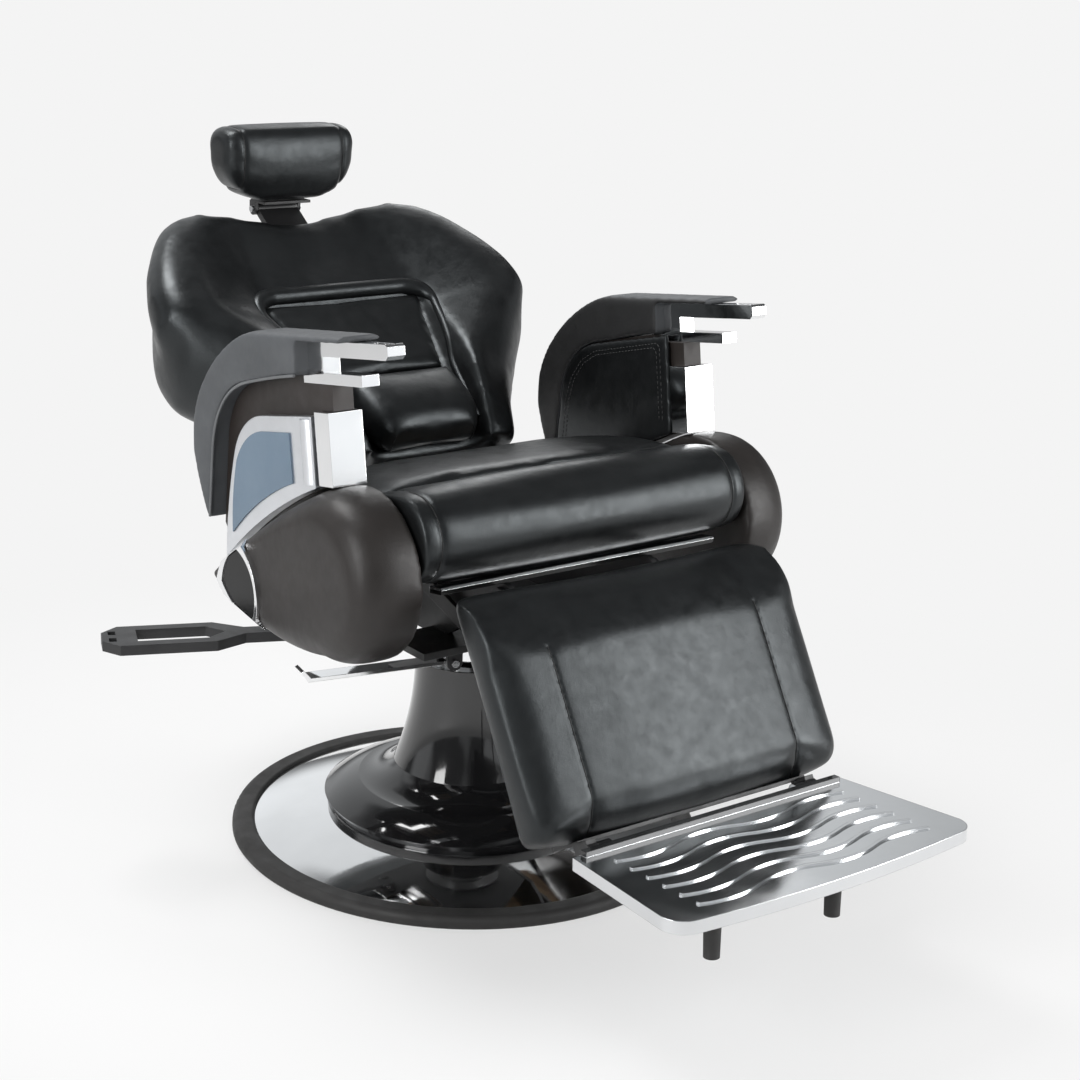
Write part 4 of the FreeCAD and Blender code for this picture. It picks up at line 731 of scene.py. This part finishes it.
sinkLine(legrestCushion, legFrame, awayFromLegSeam, legPad["seamDepth"], legPad["seamWidth"])
for side, name in sides:
    ends = [(side * legPad["seamAt"], legPad["rayFrom"], legPad[end]) for end in ("seamTop", "seamFoot")]
    found = onSkin(legrestCushion, legFrame, aimed(ends, legPad["step"], (0, 1, 0)))
    tube("legSeam" + name, found, legPad["thread"], "legrest", threadFinish)
print("legrest sewn")


# Back: winged cushion with a rolled edge round its middle, panel and lumbar pad
backPad = {
    "voxel": 6.5, "relax": 34, "shrink": 1.5, "pressure": 1.6, "cap": 7, "proud": 4, "settle": 12, "fill": 0.75,
    "frontRounds": 60, "frontFrom": 0.3, "frontBlend": 0.4, "panelHalf": 150, "panelTop": 350, "panelBlend": 40,
}
backCushion = padNode("back_cushion", "backCushion", backPad, "back_shell")


def frontShare(p, n):
    away = np.hypot(np.maximum(np.abs(p[:, 0]) - backPad["panelHalf"], 0),
                    np.maximum(p[:, 2] - backPad["panelTop"], 0))
    facing = np.clip((-n[:, 1] - backPad["frontFrom"]) / backPad["frontBlend"], 0, 1)
    return facing * np.clip(away / backPad["panelBlend"], 0, 1)


evenFace(backCushion, backFrame, frontShare, backPad["frontRounds"])  # wings run softly into the middle

panelPad = {
    "voxel": 4.5, "relax": 4, "shrink": 2, "pressure": 2.5, "cap": 10, "proud": 1.5, "settle": 5, "fill": 0.6,
}
padNode("back_panel", "backPanel", panelPad)

lumbarPadding = {
    "voxel": 5, "relax": 34, "shrink": 2, "pressure": 3.5, "cap": 14, "proud": 3, "settle": 10, "fill": 0.8,
    "lines": ((178, 14, 50), (75, -5, 45), (18, 15, 30)),  # height, depth and width of top, bulge and foot
}
lumbarPad = padNode("lumbar_pad", "lumbarPad", lumbarPadding)
for at, depth, width in lumbarPadding["lines"]:
    sinkLine(lumbarPad, backFrame, lambda p: p[:, 2] - at, depth, width)

edgeRoll = {
    "half": ((98, 70), (114, 178), (146, 306), (140, 330), (116, 343)), "rayFrom": -260, "step": 14,
    "radius": 9, "rise": -4, "fullFrom": 325, "full": 1.5, "slim": 0.8,
}
path = [(-x, edgeRoll["rayFrom"], z) for x, z in edgeRoll["half"]]
path += [(x, edgeRoll["rayFrom"], z) for x, z in reversed(edgeRoll["half"])]
found = onSkin(backCushion, backFrame, aimed(path, edgeRoll["step"], (0, 1, 0)), edgeRoll["rise"])
heights = [(backFrame.inverted() @ point).z for point in found]
swell = [edgeRoll["full"] if height > edgeRoll["fullFrom"] else edgeRoll["slim"] for height in heights]
tube("panelEdge", found, edgeRoll["radius"], "back", finishes["leather_black"], swell=swell)
print("back sewn")


# Headrest
pillowPad = {
    "voxel": 4.5, "relax": 5, "shrink": 3, "pressure": 3, "cap": 12, "proud": 3, "settle": 6, "fill": 0.8,
    "seamAt": 84, "seamDepth": 1.8, "seamWidth": 3.2, "thread": 0.7,
    "ring": {"centre": (-20, 78), "reach": 150, "degrees": (0, 360, 12)},
}
headrestPillow = padNode("headrest_pillow", "headrestPillow", pillowPad)
sinkLine(headrestPillow, headFrame, lambda p: np.abs(p[:, 0]) - pillowPad["seamAt"], pillowPad["seamDepth"],
         pillowPad["seamWidth"])
for side, name in sides:
    found = onSkin(headrestPillow, headFrame, ringRays(side * pillowPad["seamAt"], pillowPad["ring"]))
    tube("pillowSeam" + name, found, pillowPad["thread"], "headrest", threadFinish, True)
print("headrest sewn")


# Arms: firm linings with a stitched border, firm pads with piping along the lower edge
liningPad = {
    "voxel": 4, "relax": 2, "proud": 0.3, "settle": 2, "fill": 0.9,
    "border": ((-92, 30), (-92, 132), (-86, 138), (54, 122), (86, 108), (112, 82), (128, 50), (152, -52)),
    "middle": (18, 44), "reach": 90, "rows": (0, 6), "rayFrom": 150, "step": 1.0, "run": 5, "gap": 2,
    "thread": 0.55,
}
armPadding = {
    "voxel": 4, "relax": 2, "proud": 0.3, "settle": 2, "fill": 0.9, "piping": 2.0, "pipingAt": 320.6,
    "pipingRise": 0.6,
    "pipingPath": ((-82, 150), (-40, 147), (20, 139), (60, 134), (98, 117), (126, 90), (143, 58), (152, 20),
                   (162, -20), (170, -50)),
}
for side, name in sides:
    lining = padNode("arm_lining_" + name.lower(), "armLining" + name, liningPad)
    middleY, middleZ = liningPad["middle"]
    for row, inset in enumerate(liningPad["rows"]):
        shrink = 1 - inset / liningPad["reach"]
        corners = [
            (side * liningPad["rayFrom"], middleY + (y - middleY) * shrink, middleZ + (z - middleZ) * shrink)
            for y, z in liningPad["border"]
        ]
        found = onSkin(lining, seatFrame, aimed(corners, liningPad["step"], (side, 0, 0)))
        stitch("liningStitch%s%d" % (name, row + 1), found, liningPad["run"], liningPad["gap"],
               liningPad["thread"], "seat", stitchFinish)
    padNode("arm_pad_" + name.lower(), "armPad" + name, armPadding)
    points = [seatFrame @ Vector((side * armPadding["pipingAt"], y, z + armPadding["pipingRise"]))
              for y, z in armPadding["pipingPath"]]
    tube("padPiping" + name, points, armPadding["piping"], "seat", pipingFinish)
print("arms dressed")


# Side pods
podPad = {"voxel": 6, "relax": 6, "proud": 0.5, "settle": 4, "fill": 0.95}
for _, name in sides:
    padNode("side_pod_" + name.lower(), "sidePod" + name, podPad)
print("pods dressed")
